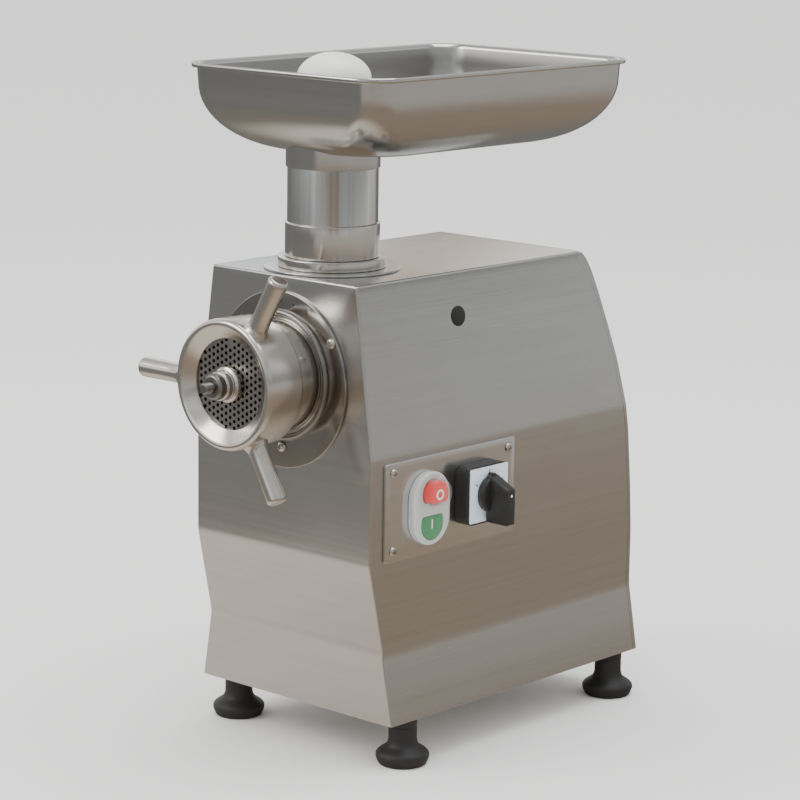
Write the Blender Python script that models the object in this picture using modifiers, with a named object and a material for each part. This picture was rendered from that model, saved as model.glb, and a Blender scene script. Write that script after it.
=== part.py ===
"""Electric meat grinder with a size 22 head, made as separate pieces.

+Z is up, the cutting head faces -Y and the controls are on +X. Lengths are given in millimetres and the
helpers turn them into metres. Inside this file places are measured from the machine's own centre plane
(x = 0), from the front edge of its casing (y = 0) and from the floor (z = 0); the root empty then moves
the whole machine so that the world origin lies under the middle of its bounding box.
"""

import math

import bmesh
import bpy
from mathutils import Matrix, Vector

MM = 0.001
GAP = 0.3

# Casing: folded sheet. Each profile is (height, distance) with straight sheet between the bends.
SHEET = 1.5
CASING_BOTTOM = 40.7
CASING_TOP = 411.4
SIDE_PROFILE = ((CASING_BOTTOM, 112.5), (100.0, 102.3), (269.0, 102.3), (CASING_TOP, 83.5))
FRONT_PROFILE = ((CASING_BOTTOM, 17.5), (100.0, 16.5), (177.0, 0.0), (CASING_TOP, 0.0))
REAR_PROFILE = (
    (CASING_BOTTOM, 353.5), (151.0, 353.5), (195.0, 350.5), (248.0, 345.0), (269.0, 341.0),
    (311.0, 333.0), (340.0, 324.4), (372.0, 314.0), (391.0, 307.0), (404.0, 300.0),
    (409.8, 294.8), (CASING_TOP, 290.0),
)
COVER_RETURN = 7.0
SEAM_PROFILE = (
    *[(height, distance - COVER_RETURN) for height, distance in REAR_PROFILE[:8]],
    (391.0, 297.0), (404.0, 284.5), (CASING_TOP, 284.5),
)
EDGE_RADIUS = 2.0

# Feet
FOOT_X = 98.25
FOOT_Y = (47.6, 327.7)
FOOT_RADIUS = 22.9
FOOT_STEM_RADIUS = 12.2

# Feed: tube, tray and pusher stand over the barrel's port.
TUBE_Y = 59.3
TUBE_RADIUS = 38.5
TUBE_BORE = 36.0
TUBE_TOP = 511.0
COLLAR_TOP = 422.0
TRAY_HALF = 113.8
TRAY_FRONT = -13.3
TRAY_REAR = 328.2
TRAY_RIM = 581.2
TRAY_WALL_FOOT = 564.0
TRAY_FLOOR = 509.5
TRAY_SHEET = 1.3
TRAY_LIP = 5.6
TRAY_SWEEP = 50.0
PUSHER_TOP = 592.8

# Head: everything on the head's axis, which runs along Y.
HEAD_Z = 327.4
FLANGE_RADIUS = 75.0
FLANGE_FACE = -2.8
FLANGE_Z = HEAD_Z - 4.0
BARREL_RADIUS = 46.9
BARREL_BORE = 38.6
BARREL_FRONT = -58.0
BARREL_REAR = 121.5
SLEEVE_REAR = 125.7
PLATE_RADIUS = 41.0
PLATE_FACE = -61.0
PLATE_DEPTH = 9.0
PLATE_BORE = 9.9
HOLE_RADIUS = 1.5
HOLE_PITCH = 5.6
HOLE_FIELD = (13.8, 36.8)
KNIFE_DEPTH = 9.4
STUD_TIP = -92.0
ARM_ANGLES = (60.0, 180.0, 300.0)
ARM_END = 106.5
ARM_Y = -58.3
WORM_RADIUS = 37.8
WORM_TURNS = 3

# Drive: two spur stages between the motor and the worm.
MODULE = 3.0
MOTOR_TEETH = 12
IDLER_TEETH = 30
IDLER_PINION_TEETH = 12
OUTPUT_TEETH = 36
IDLER_Z = HEAD_Z - MODULE * (OUTPUT_TEETH + IDLER_PINION_TEETH) / 2
MOTOR_Z = IDLER_Z - MODULE * (IDLER_TEETH + MOTOR_TEETH) / 2
BOX_FRONT = 126.0
BOX_CAVITY = 142.0
BOX_REAR = 184.0
COVER_REAR = 196.0
SLOW_STAGE = (143.5, 163.0)
FAST_STAGE = (166.0, 182.0)
MOTOR_RADIUS = 60.0
MOTOR_REAR = 296.0

# Controls, on the flat lower part of the right side.
SIDE_FACE = 102.3
PANEL_Y = (15.0, 179.5)
PANEL_Z = (180.0, 264.0)
PANEL_FACE = 105.0
BUTTONS_YZ = (65.4, 220.3)
BUTTON_SPREAD = 13.2
SWITCH_YZ = (127.6, 224.7)
SWITCH_FACE = 121.0
KNOB_REACH = 146.0

GLAND_REAR = 372.0
ORIGIN = Vector(((KNOB_REACH - FOOT_X - FOOT_RADIUS) / 2, (GLAND_REAR + STUD_TIP) / 2, 0.0))

# How a piece's own axes lie: its Z axis points up, forward or out of the control side.
UP = (0.0, 0.0, 0.0)
FORWARD = (math.pi / 2, 0.0, 0.0)
SIDEWAYS = (math.pi / 2, 0.0, math.pi / 2)
REARWARD = (-math.pi / 2, 0.0, 0.0)

# name: (colour, metallic, roughness)
FINISHES = {
    "brushed_steel": ((0.56, 0.55, 0.52), 1.0, 0.34),
    "polished_steel": ((0.64, 0.61, 0.57), 1.0, 0.16),
    "plate_steel": ((0.42, 0.40, 0.38), 1.0, 0.32),
    "cast_aluminium": ((0.52, 0.53, 0.54), 1.0, 0.55),
    "machine_steel": ((0.48, 0.48, 0.49), 1.0, 0.38),
    "copper_core": ((0.50, 0.30, 0.18), 1.0, 0.45),
    "motor_paint": ((0.08, 0.09, 0.10), 0.0, 0.50),
    "black_plastic": ((0.020, 0.020, 0.019), 0.0, 0.42),
    "black_rubber": ((0.016, 0.015, 0.015), 0.0, 0.70),
    "white_plastic": ((0.86, 0.86, 0.84), 0.0, 0.40),
    "grey_label": ((0.62, 0.68, 0.71), 0.0, 0.45),
    "red_plastic": ((0.62, 0.06, 0.05), 0.0, 0.35),
    "green_plastic": ((0.03, 0.26, 0.09), 0.0, 0.35),
    "clear_rubber": ((0.80, 0.82, 0.82), 0.0, 0.20),
}

holders = {}


# Scene helpers


def clear_scene():
    for item in list(bpy.data.objects):
        bpy.data.objects.remove(item)


def make_collections():
    parts = bpy.data.collections.new("meat_grinder")
    tools = bpy.data.collections.new("cutters")
    bpy.context.scene.collection.children.link(parts)
    bpy.context.scene.collection.children.link(tools)
    return parts, tools


def make_finish(name):
    """A Principled material from FINISHES."""
    colour, metallic, roughness = FINISHES[name]
    material = bpy.data.materials.new(name)
    material.use_nodes = True
    shader = material.node_tree.nodes["Principled BSDF"]
    shader.inputs["Base Color"].default_value = (*colour, 1.0)
    shader.inputs["Metallic"].default_value = metallic
    shader.inputs["Roughness"].default_value = roughness
    return material


def make_holder(name, at, under=None):
    """An empty on a joint's axis, which carries the pieces that move together."""
    empty = bpy.data.objects.new(name, None)
    PARTS.objects.link(empty)
    place = Vector(at)
    if under is None:
        empty.location = (place - ORIGIN) * MM
    else:
        empty.parent = holders[under][0]
        empty.location = (place - holders[under][1]) * MM
    holders[name] = (empty, place)


def put(name, mesh, finish, at=(0, 0, 0), turn=UP, holder="machine"):
    """Links a mesh as a named piece at its place in the machine, or as a cutter if it has no finish."""
    piece = bpy.data.objects.new(name, mesh)
    empty, origin = holders[holder]
    piece.parent = empty
    piece.location = (Vector(at) - origin) * MM
    piece.rotation_euler = turn
    if finish is None:
        TOOLS.objects.link(piece)
        piece.hide_render = True
        piece.display_type = "WIRE"
    else:
        PARTS.objects.link(piece)
        mesh.materials.append(materials[finish])
    return piece


def as_mesh(piece):
    """The piece's evaluated shape as a plain mesh, its loose caps welded and its flat faces kept crisp."""
    bpy.context.view_layer.update()
    graph = bpy.context.evaluated_depsgraph_get()
    mesh = bpy.data.meshes.new_from_object(piece.evaluated_get(graph))
    shape = bmesh.new()
    shape.from_mesh(mesh)
    bmesh.ops.remove_doubles(shape, verts=shape.verts, dist=1e-6)
    bmesh.ops.recalc_face_normals(shape, faces=shape.faces)
    shape.to_mesh(mesh)
    shape.free()
    mesh.shade_smooth()
    mesh.set_sharp_from_angle(angle=math.radians(32))
    bpy.data.objects.remove(piece)
    return mesh


def boolean(piece, operation, tools):
    for tool in tools:
        step = piece.modifiers.new(tool.name, "BOOLEAN")
        step.operation = operation
        step.object = tool
        step.solver = "EXACT"
    return piece


def cut(piece, *tools):
    return boolean(piece, "DIFFERENCE", tools)


def join(piece, *tools):
    return boolean(piece, "UNION", tools)


# Shape helpers


def turned(name, profile, finish, at=(0, 0, 0), turn=UP, holder="machine", steps=24):
    """A turned piece from (radius, height) points that run down its outer side. A profile that doesn't
    start on the axis is a ring and closes on itself."""
    ring = profile[0][0] > 0
    shape = bmesh.new()
    points = [shape.verts.new((radius * MM, 0.0, height * MM)) for radius, height in profile]
    ends = points[1:] + points[:1] if ring else points[1:]
    for start, end in zip(points, ends):
        shape.edges.new((start, end))
    mesh = bpy.data.meshes.new(name)
    shape.to_mesh(mesh)
    shape.free()
    blank = put(f"{name}.blank", mesh, None)
    screw = blank.modifiers.new("Turn", "SCREW")
    screw.steps = steps
    screw.render_steps = steps
    screw.use_merge_vertices = True
    screw.merge_threshold = 0.00001
    return put(name, as_mesh(blank), finish, at, turn, holder)


def turned_head(name, profile, finish, holder="machine", z=HEAD_Z, steps=24):
    """A turned piece on an axis along Y, from (radius, y) points that run from front to rear."""
    return turned(name, [(r, -y) for r, y in profile], finish, (0, 0, z), FORWARD, holder, steps)


def flat(name, outlines, span, finish, at=(0, 0, 0), turn=UP, holder="machine"):
    """A flat piece: the first outline's area less the others', from span[0] to span[1] along its Z."""
    curve = bpy.data.curves.new(name, "CURVE")
    curve.dimensions = "2D"
    curve.fill_mode = "BOTH"
    curve.extrude = (span[1] - span[0]) / 2 * MM
    for outline in outlines:
        spline = curve.splines.new("POLY")
        spline.points.add(len(outline) - 1)
        for point, (x, y) in zip(spline.points, outline):
            point.co = (x * MM, y * MM, 0.0, 1.0)
        spline.use_cyclic_u = True
    mesh = as_mesh(put(f"{name}.outline", curve, None))
    mesh.transform(Matrix.Translation((0.0, 0.0, (span[0] + span[1]) / 2 * MM)))
    return put(name, mesh, finish, at, turn, holder)


def box(name, low, high, finish, holder="machine", bevel=0.0):
    """A box between two corners, its edges rounded if it has a bevel."""
    shape = bmesh.new()
    bmesh.ops.create_cube(shape, size=1.0)
    size = Vector(high) - Vector(low)
    bmesh.ops.scale(shape, vec=size * MM, verts=shape.verts)
    mesh = bpy.data.meshes.new(name)
    shape.to_mesh(mesh)
    shape.free()
    piece = put(name, mesh, finish, (Vector(low) + Vector(high)) / 2, UP, holder)
    if bevel:
        rounding = piece.modifiers.new("Edges", "BEVEL")
        rounding.width = bevel * MM
        rounding.segments = 2
    return piece


def drum(name, radius, span, finish=None, at=(0, 0, 0), turn=UP, holder="machine", steps=24):
    """A plain cylinder from span[0] to span[1] along its Z."""
    profile = ((0, span[1]), (radius, span[1]), (radius, span[0]), (0, span[0]))
    return turned(name, profile, finish, at, turn, holder, steps)


def loft(name, loops, finish, holder="machine", closed=True):
    """Skins a list of loops, each with as many points, and closes the last one. Closed loops make a
    solid; open ones a sheet."""
    shape = bmesh.new()
    rows = [[shape.verts.new(Vector(point) * MM) for point in loop] for loop in loops]
    for lower, upper in zip(rows, rows[1:]):
        count = len(lower)
        for i in range(count if closed else count - 1):
            j = (i + 1) % count
            shape.faces.new((lower[i], lower[j], upper[j], upper[i]))
    shape.faces.new(rows[-1])
    if closed:
        shape.faces.new(reversed(rows[0]))
        bmesh.ops.recalc_face_normals(shape, faces=shape.faces)
    mesh = bpy.data.meshes.new(name)
    shape.to_mesh(mesh)
    shape.free()
    mesh.shade_smooth()
    mesh.set_sharp_from_angle(angle=math.radians(32))
    return put(name, mesh, finish, (0, 0, 0), UP, holder)


def circle(radius, steps, centre=(0, 0)):
    turns = [2 * math.pi * i / steps for i in range(steps)]
    return [(centre[0] + radius * math.cos(a), centre[1] + radius * math.sin(a)) for a in turns]


def arc(centre, radius, start, end, steps):
    """Points on an arc, angles in degrees."""
    turns = [math.radians(start + (end - start) * i / steps) for i in range(steps + 1)]
    return [(centre[0] + radius * math.cos(a), centre[1] + radius * math.sin(a)) for a in turns]


def obround(radius, low, high, steps=10):
    """Two half circles, centred at heights low and high, and the straight sides between them."""
    return arc((0, high), radius, 0, 180, steps) + arc((0, low), radius, 180, 360, steps)


def rounded_rectangle(low, high, radius, steps=3):
    corners = (
        ((high[0] - radius, high[1] - radius), 0), ((low[0] + radius, high[1] - radius), 90),
        ((low[0] + radius, low[1] + radius), 180), ((high[0] - radius, low[1] + radius), 270),
    )
    points = []
    for centre, start in corners:
        points += arc(centre, radius, start, start + 90, steps)
    return points


def along(profile, height):
    """The distance that a (height, distance) profile has at a height."""
    for (z0, d0), (z1, d1) in zip(profile, profile[1:]):
        if height <= z1:
            return d0 + (d1 - d0) * (height - z0) / (z1 - z0)
    return profile[-1][1]


# Casing


def casing_levels():
    """(height, inset) of each level of the casing's sheet, up to its rounded top edge."""
    heights = {z for profile in (SIDE_PROFILE, FRONT_PROFILE, REAR_PROFILE) for z, _ in profile}
    bend = CASING_TOP - EDGE_RADIUS
    levels = [(z, 0.0) for z in sorted(heights) if z < bend]
    for turn in (0, 45, 90):
        rise = EDGE_RADIUS * math.sin(math.radians(turn))
        levels.append((bend + rise, EDGE_RADIUS * (1 - math.cos(math.radians(turn)))))
    return levels


def front_wrap(height, inset):
    """The casing's outline at a height, from its left rear seam round the front to the right one."""
    half = along(SIDE_PROFILE, height) - inset
    front = along(FRONT_PROFILE, height) + inset
    seam = along(SEAM_PROFILE, height)
    left = arc((EDGE_RADIUS - half, front + EDGE_RADIUS), EDGE_RADIUS, 180, 270, 2)
    right = arc((half - EDGE_RADIUS, front + EDGE_RADIUS), EDGE_RADIUS, 270, 360, 2)
    outline = [(-half, seam), *left, *right, (half, seam)]
    return [(x, y, height) for x, y in outline]


def rear_wrap(height, inset):
    """The rear cover's outline at a height, from its right seam round the back to the left one."""
    half = along(SIDE_PROFILE, height) - inset
    rear = along(REAR_PROFILE, height)
    seam = along(SEAM_PROFILE, height) + GAP
    radius = 2 * EDGE_RADIUS
    right = arc((half - radius, rear - radius), radius, 0, 90, 2)
    left = arc((radius - half, rear - radius), radius, 90, 180, 2)
    outline = [(half, seam), *right, *left, (-half, seam)]
    return [(x, y, height) for x, y in outline]


def sheet_metal(name, wrap):
    """A folded sheet whose outside follows wrap at every level."""
    piece = loft(name, [wrap(z, inset) for z, inset in casing_levels()], "brushed_steel", closed=False)
    wall = piece.modifiers.new("Sheet", "SOLIDIFY")
    wall.thickness = SHEET * MM
    wall.offset = -1.0
    wall.use_even_offset = True
    return piece


def casing_shell():
    """Front, sides and top in one folded sheet, with the holes that the other pieces go through."""
    shell = sheet_metal("casing_shell", front_wrap)
    head_hole = drum("head_hole", 52.8, (-8, 8), None, (0, 0, HEAD_Z), FORWARD)
    feed_hole = drum("feed_hole", 39.0, (-8, 8), None, (0, TUBE_Y, CASING_TOP))
    cut(shell, head_hole, feed_hole, *control_holes("casing"))
    cut(shell, drum("plug_hole", 7.4, (-6, 6), None, *plug_place(), steps=12))
    cut(shell, *[screw_hole("casing", i) for i in range(3)])
    cut(shell, *[panel_screw_hole("casing", i) for i in range(4)])


def rear_cover():
    """Curved back sheet with air slots for the motor and a hole for the cable gland."""
    cover = sheet_metal("rear_cover", rear_wrap)
    slots = bmesh.new()
    for row in range(6):
        slot = bmesh.ops.create_cube(slots, size=1.0)["verts"]
        bmesh.ops.scale(slots, vec=(0.080, 0.020, 0.0045), verts=slot)
        bmesh.ops.translate(slots, vec=(0.0, 0.0, row * 0.011), verts=slot)
    mesh = bpy.data.meshes.new("air_slots")
    slots.to_mesh(mesh)
    slots.free()
    cut(cover, put("air_slots", mesh, None, (15, 352, 78)))
    cut(cover, drum("gland_hole", 8.4, (-6, 6), None, *gland_place(), steps=12))


def base_plate():
    low = (-109.6, along(FRONT_PROFILE, CASING_BOTTOM) + SHEET + 0.6)
    high = (109.6, along(REAR_PROFILE, CASING_BOTTOM) - SHEET - 0.6)
    outline = rounded_rectangle(low, high, 4.0, 2)
    flat("base_plate", [outline], (CASING_BOTTOM + 1.5, CASING_BOTTOM + 3.5), "brushed_steel")


def feet():
    """Four moulded feet, pressed into the base plate's underside."""
    profile = (
        (0, CASING_BOTTOM + 1.2), (FOOT_STEM_RADIUS, CASING_BOTTOM + 1.2), (FOOT_STEM_RADIUS, 20.5),
        (14.0, 16.0), (20.0, 12.5), (FOOT_RADIUS, 9.5), (FOOT_RADIUS, 6.0), (20.0, 0.0), (0, 0),
    )
    names = ("foot_front_left", "foot_front_right", "foot_rear_left", "foot_rear_right")
    for i, name in enumerate(names):
        x = FOOT_X if i % 2 else -FOOT_X
        turned(name, profile, "black_rubber", (x, FOOT_Y[i // 2], 0), steps=18)


def plug_place():
    """Where the hole plug sits, and how it faces, on the slanted upper side."""
    z = 373.8
    lean = math.atan2(SIDE_PROFILE[2][1] - SIDE_PROFILE[3][1], CASING_TOP - SIDE_PROFILE[2][0])
    return (along(SIDE_PROFILE, z), 120.8, z), (0.0, math.pi / 2 - lean, 0.0)


def hole_plug():
    at, turn = plug_place()
    profile = ((0, 2.4), (5.5, 2.1), (8.75, 1.0), (8.75, GAP), (7.0, GAP), (7.0, -5.0), (0, -5.0))
    turned("hole_plug", profile, "black_rubber", at, turn, steps=16)


def gland_place():
    return (-60, 353.5, 66), REARWARD


def cable_gland():
    """Inlet for the mains lead at the back."""
    at, turn = gland_place()
    profile = (
        (4.2, GLAND_REAR - at[1]), (7.5, GLAND_REAR - at[1]), (9.0, 16.0), (9.0, 7.0), (11.5, 7.0),
        (11.5, GAP), (8.0, GAP), (8.0, -8.0), (4.2, -8.0),
    )
    turned("cable_gland", profile, "black_plastic", at, turn, steps=16)


# Feed


def throat_rings():
    """The flat disc on the casing's top and the collar that the feed tube stands on."""
    low = CASING_TOP + GAP
    disc = ((38.7, 413.5), (57.6, 413.5), (58.1, 413.0), (58.1, low), (38.7, low))
    turned("throat_disc", disc, "polished_steel", (0, TUBE_Y, 0))
    low = 413.5 + GAP
    collar = ((38.7, COLLAR_TOP), (45.6, COLLAR_TOP), (46.2, 421.4), (46.2, low), (38.7, low))
    turned("throat_collar", collar, "polished_steel", (0, TUBE_Y, 0))


def feed_tube():
    """Tube from the tray down to the barrel, whose round back its lower end is cut to."""
    low = 340.0
    step = COLLAR_TOP + GAP
    profile = (
        (TUBE_BORE, TUBE_TOP), (TUBE_RADIUS, TUBE_TOP), (TUBE_RADIUS, 451.5), (40.2, 450.0),
        (40.2, step), (38.0, step), (38.0, low), (TUBE_BORE, low),
    )
    tube = turned("feed_tube", profile, "polished_steel", (0, TUBE_Y, 0), UP, "feed_tube_joint", 32)
    saddle = drum("saddle", BARREL_RADIUS + 0.5, (-160, 20), None, (0, 0, HEAD_Z), FORWARD,
                  "feed_tube_joint", 32)
    cut(tube, saddle)


def tray_loop(inset, height):
    """The tray's rounded outline, inset from its rim. Its corners grow rounder towards the floor."""
    wall = min(inset, TRAY_LIP)
    radius = 30.6 - wall + 0.55 * (inset - wall)
    low = (inset - TRAY_HALF, TRAY_FRONT + inset)
    high = (TRAY_HALF - inset, TRAY_REAR - inset)
    return [(x, y, height) for x, y in rounded_rectangle(low, high, radius, 3)]


def tray_sweep(wall, floor, steps=5):
    """The wide curve from the tray's wall down to its floor, as loops."""
    reach = TRAY_SWEEP + TRAY_LIP - wall
    loops = []
    for i in range(steps + 1):
        turn = math.pi / 2 * i / steps
        inset = wall + reach * (1 - math.cos(turn))
        loops.append(tray_loop(inset, TRAY_WALL_FOOT - (TRAY_WALL_FOOT - floor) * math.sin(turn)))
    return loops


def tray():
    """Pan with a lip all round and a collar underneath that fits over the tube."""
    holder = "tray_joint"
    outside = [
        tray_loop(0.8, TRAY_RIM), tray_loop(0, TRAY_RIM - 0.8), tray_loop(0, TRAY_RIM - 3.4),
        tray_loop(0.8, TRAY_RIM - 4.0), tray_loop(4.8, TRAY_RIM - 3.6),
        *tray_sweep(TRAY_LIP, TRAY_FLOOR),
    ]
    inner_wall = TRAY_LIP + TRAY_SHEET
    inside = [
        tray_loop(4.6, TRAY_RIM + 1), tray_loop(5.4, TRAY_RIM - 0.4), tray_loop(6.5, TRAY_RIM - 3),
        *tray_sweep(inner_wall, TRAY_FLOOR + TRAY_SHEET),
    ]
    pan = loft("tray", outside, "brushed_steel", holder)
    at = (0, TUBE_Y, 0)
    join(pan, drum("tray_collar", 39.9, (497.5, 540), None, at, UP, holder, 32))
    cut(pan, loft("tray_hollow", inside, None, holder))
    cut(pan, drum("tray_bore", TUBE_RADIUS + GAP, (490, 550), None, at, UP, holder, 32))


def pusher():
    """Turned pusher: domed knob, grip neck, flange that rests on the tube and stem that fills it."""
    dome = [(31.5 * math.sin(a), 570.8 + 22.0 * math.cos(a)) for a in (0, 0.4, 0.8, 1.2, math.pi / 2)]
    dome[0] = (0, PUSHER_TOP)
    profile = [
        *dome, (30.0, 564.0), (17.5, 553.0), (17.0, 528.0), (21.0, 520.0), (38.2, 517.0),
        (38.2, TUBE_TOP + GAP), (35.0, TUBE_TOP + GAP), (35.0, 378.0), (0, 378.0),
    ]
    turned("pusher", profile, "white_plastic", (0, TUBE_Y, 0), UP, "pusher_joint")


# Head


def screw_place(i):
    """Where flange screw i is on the flange."""
    return ((58.8, 361.3), (-58.8, 361.3), (3.0, 266.5))[i]


def screw_hole(owner, i):
    x, z = screw_place(i)
    return drum(f"{owner}_flange_hole_{i + 1}", 2.9, (-12, 12), None, (x, 0, z), FORWARD, steps=8)


def front_flange():
    """Polished disc on the casing's front, and the sleeve behind it that the barrel slides into. The
    disc's middle is a little lower than the head's axis."""
    bore = BARREL_RADIUS + 0.4
    disc = (
        (0, FLANGE_FACE), (74.2, FLANGE_FACE), (FLANGE_RADIUS, -2.0), (FLANGE_RADIUS, -GAP), (0, -GAP),
    )
    flange = turned_head("front_flange", disc, "polished_steel", z=FLANGE_Z, steps=44)
    sleeve = (
        (bore, -3.6), (49.8, -3.6), (50.4, -5.8), (52.1, -6.9), (53.8, -6.7), (55.3, -5.4),
        (55.9, -3.4), (55.9, -1.0), (52.0, -1.0), (52.0, SLEEVE_REAR), (bore, SLEEVE_REAR),
    )
    hollow = drum("flange_hollow", 53.0, (-10, 10), None, (0, 0, HEAD_Z), FORWARD, steps=40)
    cut(flange, hollow)
    join(flange, turned_head("sleeve", sleeve, None, steps=36))
    port = drum("sleeve_port", 38.8, (HEAD_Z + 20, HEAD_Z + 70), None, (0, TUBE_Y, 0))
    slot = box("flange_slot", (13.5, -3.8, 386.8), (32, -1.4, 389.0), None)
    cut(flange, port, slot, *[screw_hole("flange", i) for i in range(3)])


def flange_screws():
    profile = ((0, 3.2), (2.8, 2.8), (4.5, 1.3), (4.5, GAP), (2.5, GAP), (2.5, -8.0), (0, -8.0))
    for i in range(3):
        x, z = screw_place(i)
        name = f"flange_screw_{i + 1}"
        screw = turned(name, profile, "polished_steel", (x, FLANGE_FACE, z), FORWARD, steps=12)
        low = (x - 5, FLANGE_FACE - 4, z - 0.5)
        high = (x + 5, FLANGE_FACE - 2.1, z + 0.5)
        cut(screw, box(f"{name}_slot", low, high, None))


def barrel():
    """Grinding barrel: plate seat and thread in front, feed port on top, bearing wall behind."""
    seat = PLATE_FACE + PLATE_DEPTH + GAP
    profile = (
        (41.3, BARREL_FRONT), (45.2, BARREL_FRONT), (46.0, -57.2), (46.0, -25.9),
        (BARREL_RADIUS, -25.0), (BARREL_RADIUS, BARREL_REAR), (16.4, BARREL_REAR), (16.4, 113.5),
        (BARREL_BORE, 113.5), (BARREL_BORE, seat), (41.3, seat),
    )
    body = turned_head("barrel", profile, "polished_steel", "barrel_joint", steps=32)
    at = (0, TUBE_Y, 0)
    port = drum("feed_port", TUBE_BORE, (HEAD_Z + 10, HEAD_Z + 60), None, at, UP, "barrel_joint")
    pin = (0, -54.8, 0)
    hole = drum("pin_hole", 2.2, (HEAD_Z + 38, HEAD_Z + 50), None, pin, UP, "barrel_joint", 8)
    cut(body, port, hole)
    span = (HEAD_Z + 38.6, HEAD_Z + 45.7)
    drum("locating_pin", 1.8, span, "machine_steel", pin, UP, "barrel_joint", 8)


def plate_holes():
    """Centres of the plate's holes, on a lattice of triangles with one side upright."""
    column_step = HOLE_PITCH * math.sqrt(3) / 2
    centres = []
    for column in range(-8, 9):
        for row in range(-7, 8):
            x = column * column_step
            y = (row + (column % 2) / 2) * HOLE_PITCH
            by_key = abs(x) < 3.0 and y > 33.0
            if HOLE_FIELD[0] <= math.hypot(x, y) <= HOLE_FIELD[1] and not by_key:
                centres.append((x, y))
    return centres


def cutting_plate():
    """Hole plate with a central bush bore and a key slot at its top edge."""
    key = math.degrees(math.asin(2.6 / PLATE_RADIUS))
    rim = arc((0, 0), PLATE_RADIUS, 90 + key, 450 - key, 36) + [(2.6, 38.0), (-2.6, 38.0)]
    outlines = [rim, circle(PLATE_BORE, 16)]
    outlines += [circle(HOLE_RADIUS, 6, centre) for centre in plate_holes()]
    span = (-PLATE_FACE - PLATE_DEPTH, -PLATE_FACE)
    flat("cutting_plate", outlines, span, "plate_steel", (0, 0, HEAD_Z), FORWARD, "cutting_joint")


def ring_nut():
    """Ring nut with a flared mouth and three round arms, in one casting."""
    profile = (
        (38.0, -63.0), (48.6, -70.2), (51.0, -71.0), (53.8, -70.0), (54.9, -67.6), (54.9, -55.2),
        (54.3, -31.0), (52.8, -29.4), (46.4, -29.4), (46.4, -58.4),
        (41.4, -58.4), (41.4, PLATE_FACE - GAP), (38.0, PLATE_FACE - GAP),
    )
    nut = turned_head("ring_nut", profile, "polished_steel", "nut_joint", steps=36)
    arm = ((0, ARM_END), (6.8, ARM_END), (8.6, 104.6), (8.3, 72.0), (9.3, 50.7), (0, 50.7))
    for i, angle in enumerate(ARM_ANGLES):
        turn = (0.0, math.radians(90 - angle), 0.0)
        join(nut, turned(f"nut_arm_{i + 1}", arm, None, (0, ARM_Y, HEAD_Z), turn, "nut_joint", 14))


def worm_flight():
    """The worm's helical flight as one solid band of unlike sections."""
    front, rear = -41.0, 110.0
    steps = 14 * WORM_TURNS
    loops = []
    for i in range(steps + 1):
        share = i / steps
        turn = 2 * math.pi * WORM_TURNS * share
        middle = front + 4.0 + (rear - front - 9.0) * (0.8 * share + 0.2 * share * share)
        section = ((12.0, -4.0), (WORM_RADIUS, -2.0), (WORM_RADIUS, 2.0), (12.0, 4.5))
        loops.append([
            (r * math.cos(turn), middle + y, HEAD_Z + r * math.sin(turn)) for r, y in section
        ])
    return loft("worm_flight", loops, None, "worm_joint")


def worm():
    """Feed worm: knife square in front, flight, rear journal and the square drive tang."""
    profile = (
        (0, -51.6), (8.0, -51.6), (8.0, -41.9), (13.0, -41.9), (13.5, -41.4), (17.5, 60.0),
        (19.0, 112.0), (16.0, 112.6), (16.0, 122.3), (0, 122.3),
    )
    body = turned_head("worm", profile, "polished_steel", "worm_joint", steps=16)
    square = box("knife_square", (-8, -51.6, HEAD_Z - 8), (8, -41.0, HEAD_Z + 8), None, "worm_joint")
    tang = box("drive_tang", (-9, 120.0, HEAD_Z - 9), (9, 140.0, HEAD_Z + 9), None, "worm_joint")
    join(body, worm_flight(), square, tang)
    at = (0, 0, HEAD_Z)
    cut(body, drum("stud_bore", 5.4, (23.7, 60.0), None, at, FORWARD, "worm_joint", 16))


def worm_stud():
    """The stud set into the worm's front end. Its journal turns in the plate's bore."""
    profile = (
        (0, STUD_TIP), (3.6, STUD_TIP), (4.7, -90.8), (4.7, -61.6), (9.5, -61.6), (9.5, -51.9),
        (5.0, -51.9), (5.0, -24.0), (0, -24.0),
    )
    turned_head("worm_stud", profile, "polished_steel", "worm_joint", steps=16)


def knife():
    """Four-bladed knife that turns with the worm against the plate."""
    outline = []
    for quarter in range(4):
        turn = math.pi / 2 * quarter
        for x, y in ((13.0, -6.6), (37.0, -4.6), (37.0, 5.6), (13.0, 6.6), (10.4, 10.4)):
            outline.append((
                x * math.cos(turn) - y * math.sin(turn), x * math.sin(turn) + y * math.cos(turn),
            ))
    square = [(-8.4, -8.4), (8.4, -8.4), (8.4, 8.4), (-8.4, 8.4)]
    back = PLATE_FACE + PLATE_DEPTH + GAP + KNIFE_DEPTH
    span = (-back, KNIFE_DEPTH - back)
    flat("knife", [outline, square], span, "machine_steel", (0, 0, HEAD_Z), FORWARD, "worm_joint")


def stud_fittings():
    """The collar against the plate and the nut that holds it on the stud."""
    collar = (
        (5.1, -75.7), (11.6, -75.7), (12.5, -74.6), (12.5, -67.4), (15.0, -66.6), (15.0, -63.4),
        (13.0, -62.4), (13.0, PLATE_FACE - GAP), (10.2, PLATE_FACE - GAP), (10.2, -62.0), (5.1, -62.0),
    )
    turned_head("stud_collar", collar, "polished_steel", "worm_joint", steps=18)
    nut = ((5.1, -83.0), (9.4, -83.0), (11.0, -81.6), (11.0, -76.0), (5.1, -76.0))
    turned_head("stud_nut", nut, "polished_steel", "worm_joint", steps=12)


# Drive


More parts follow.
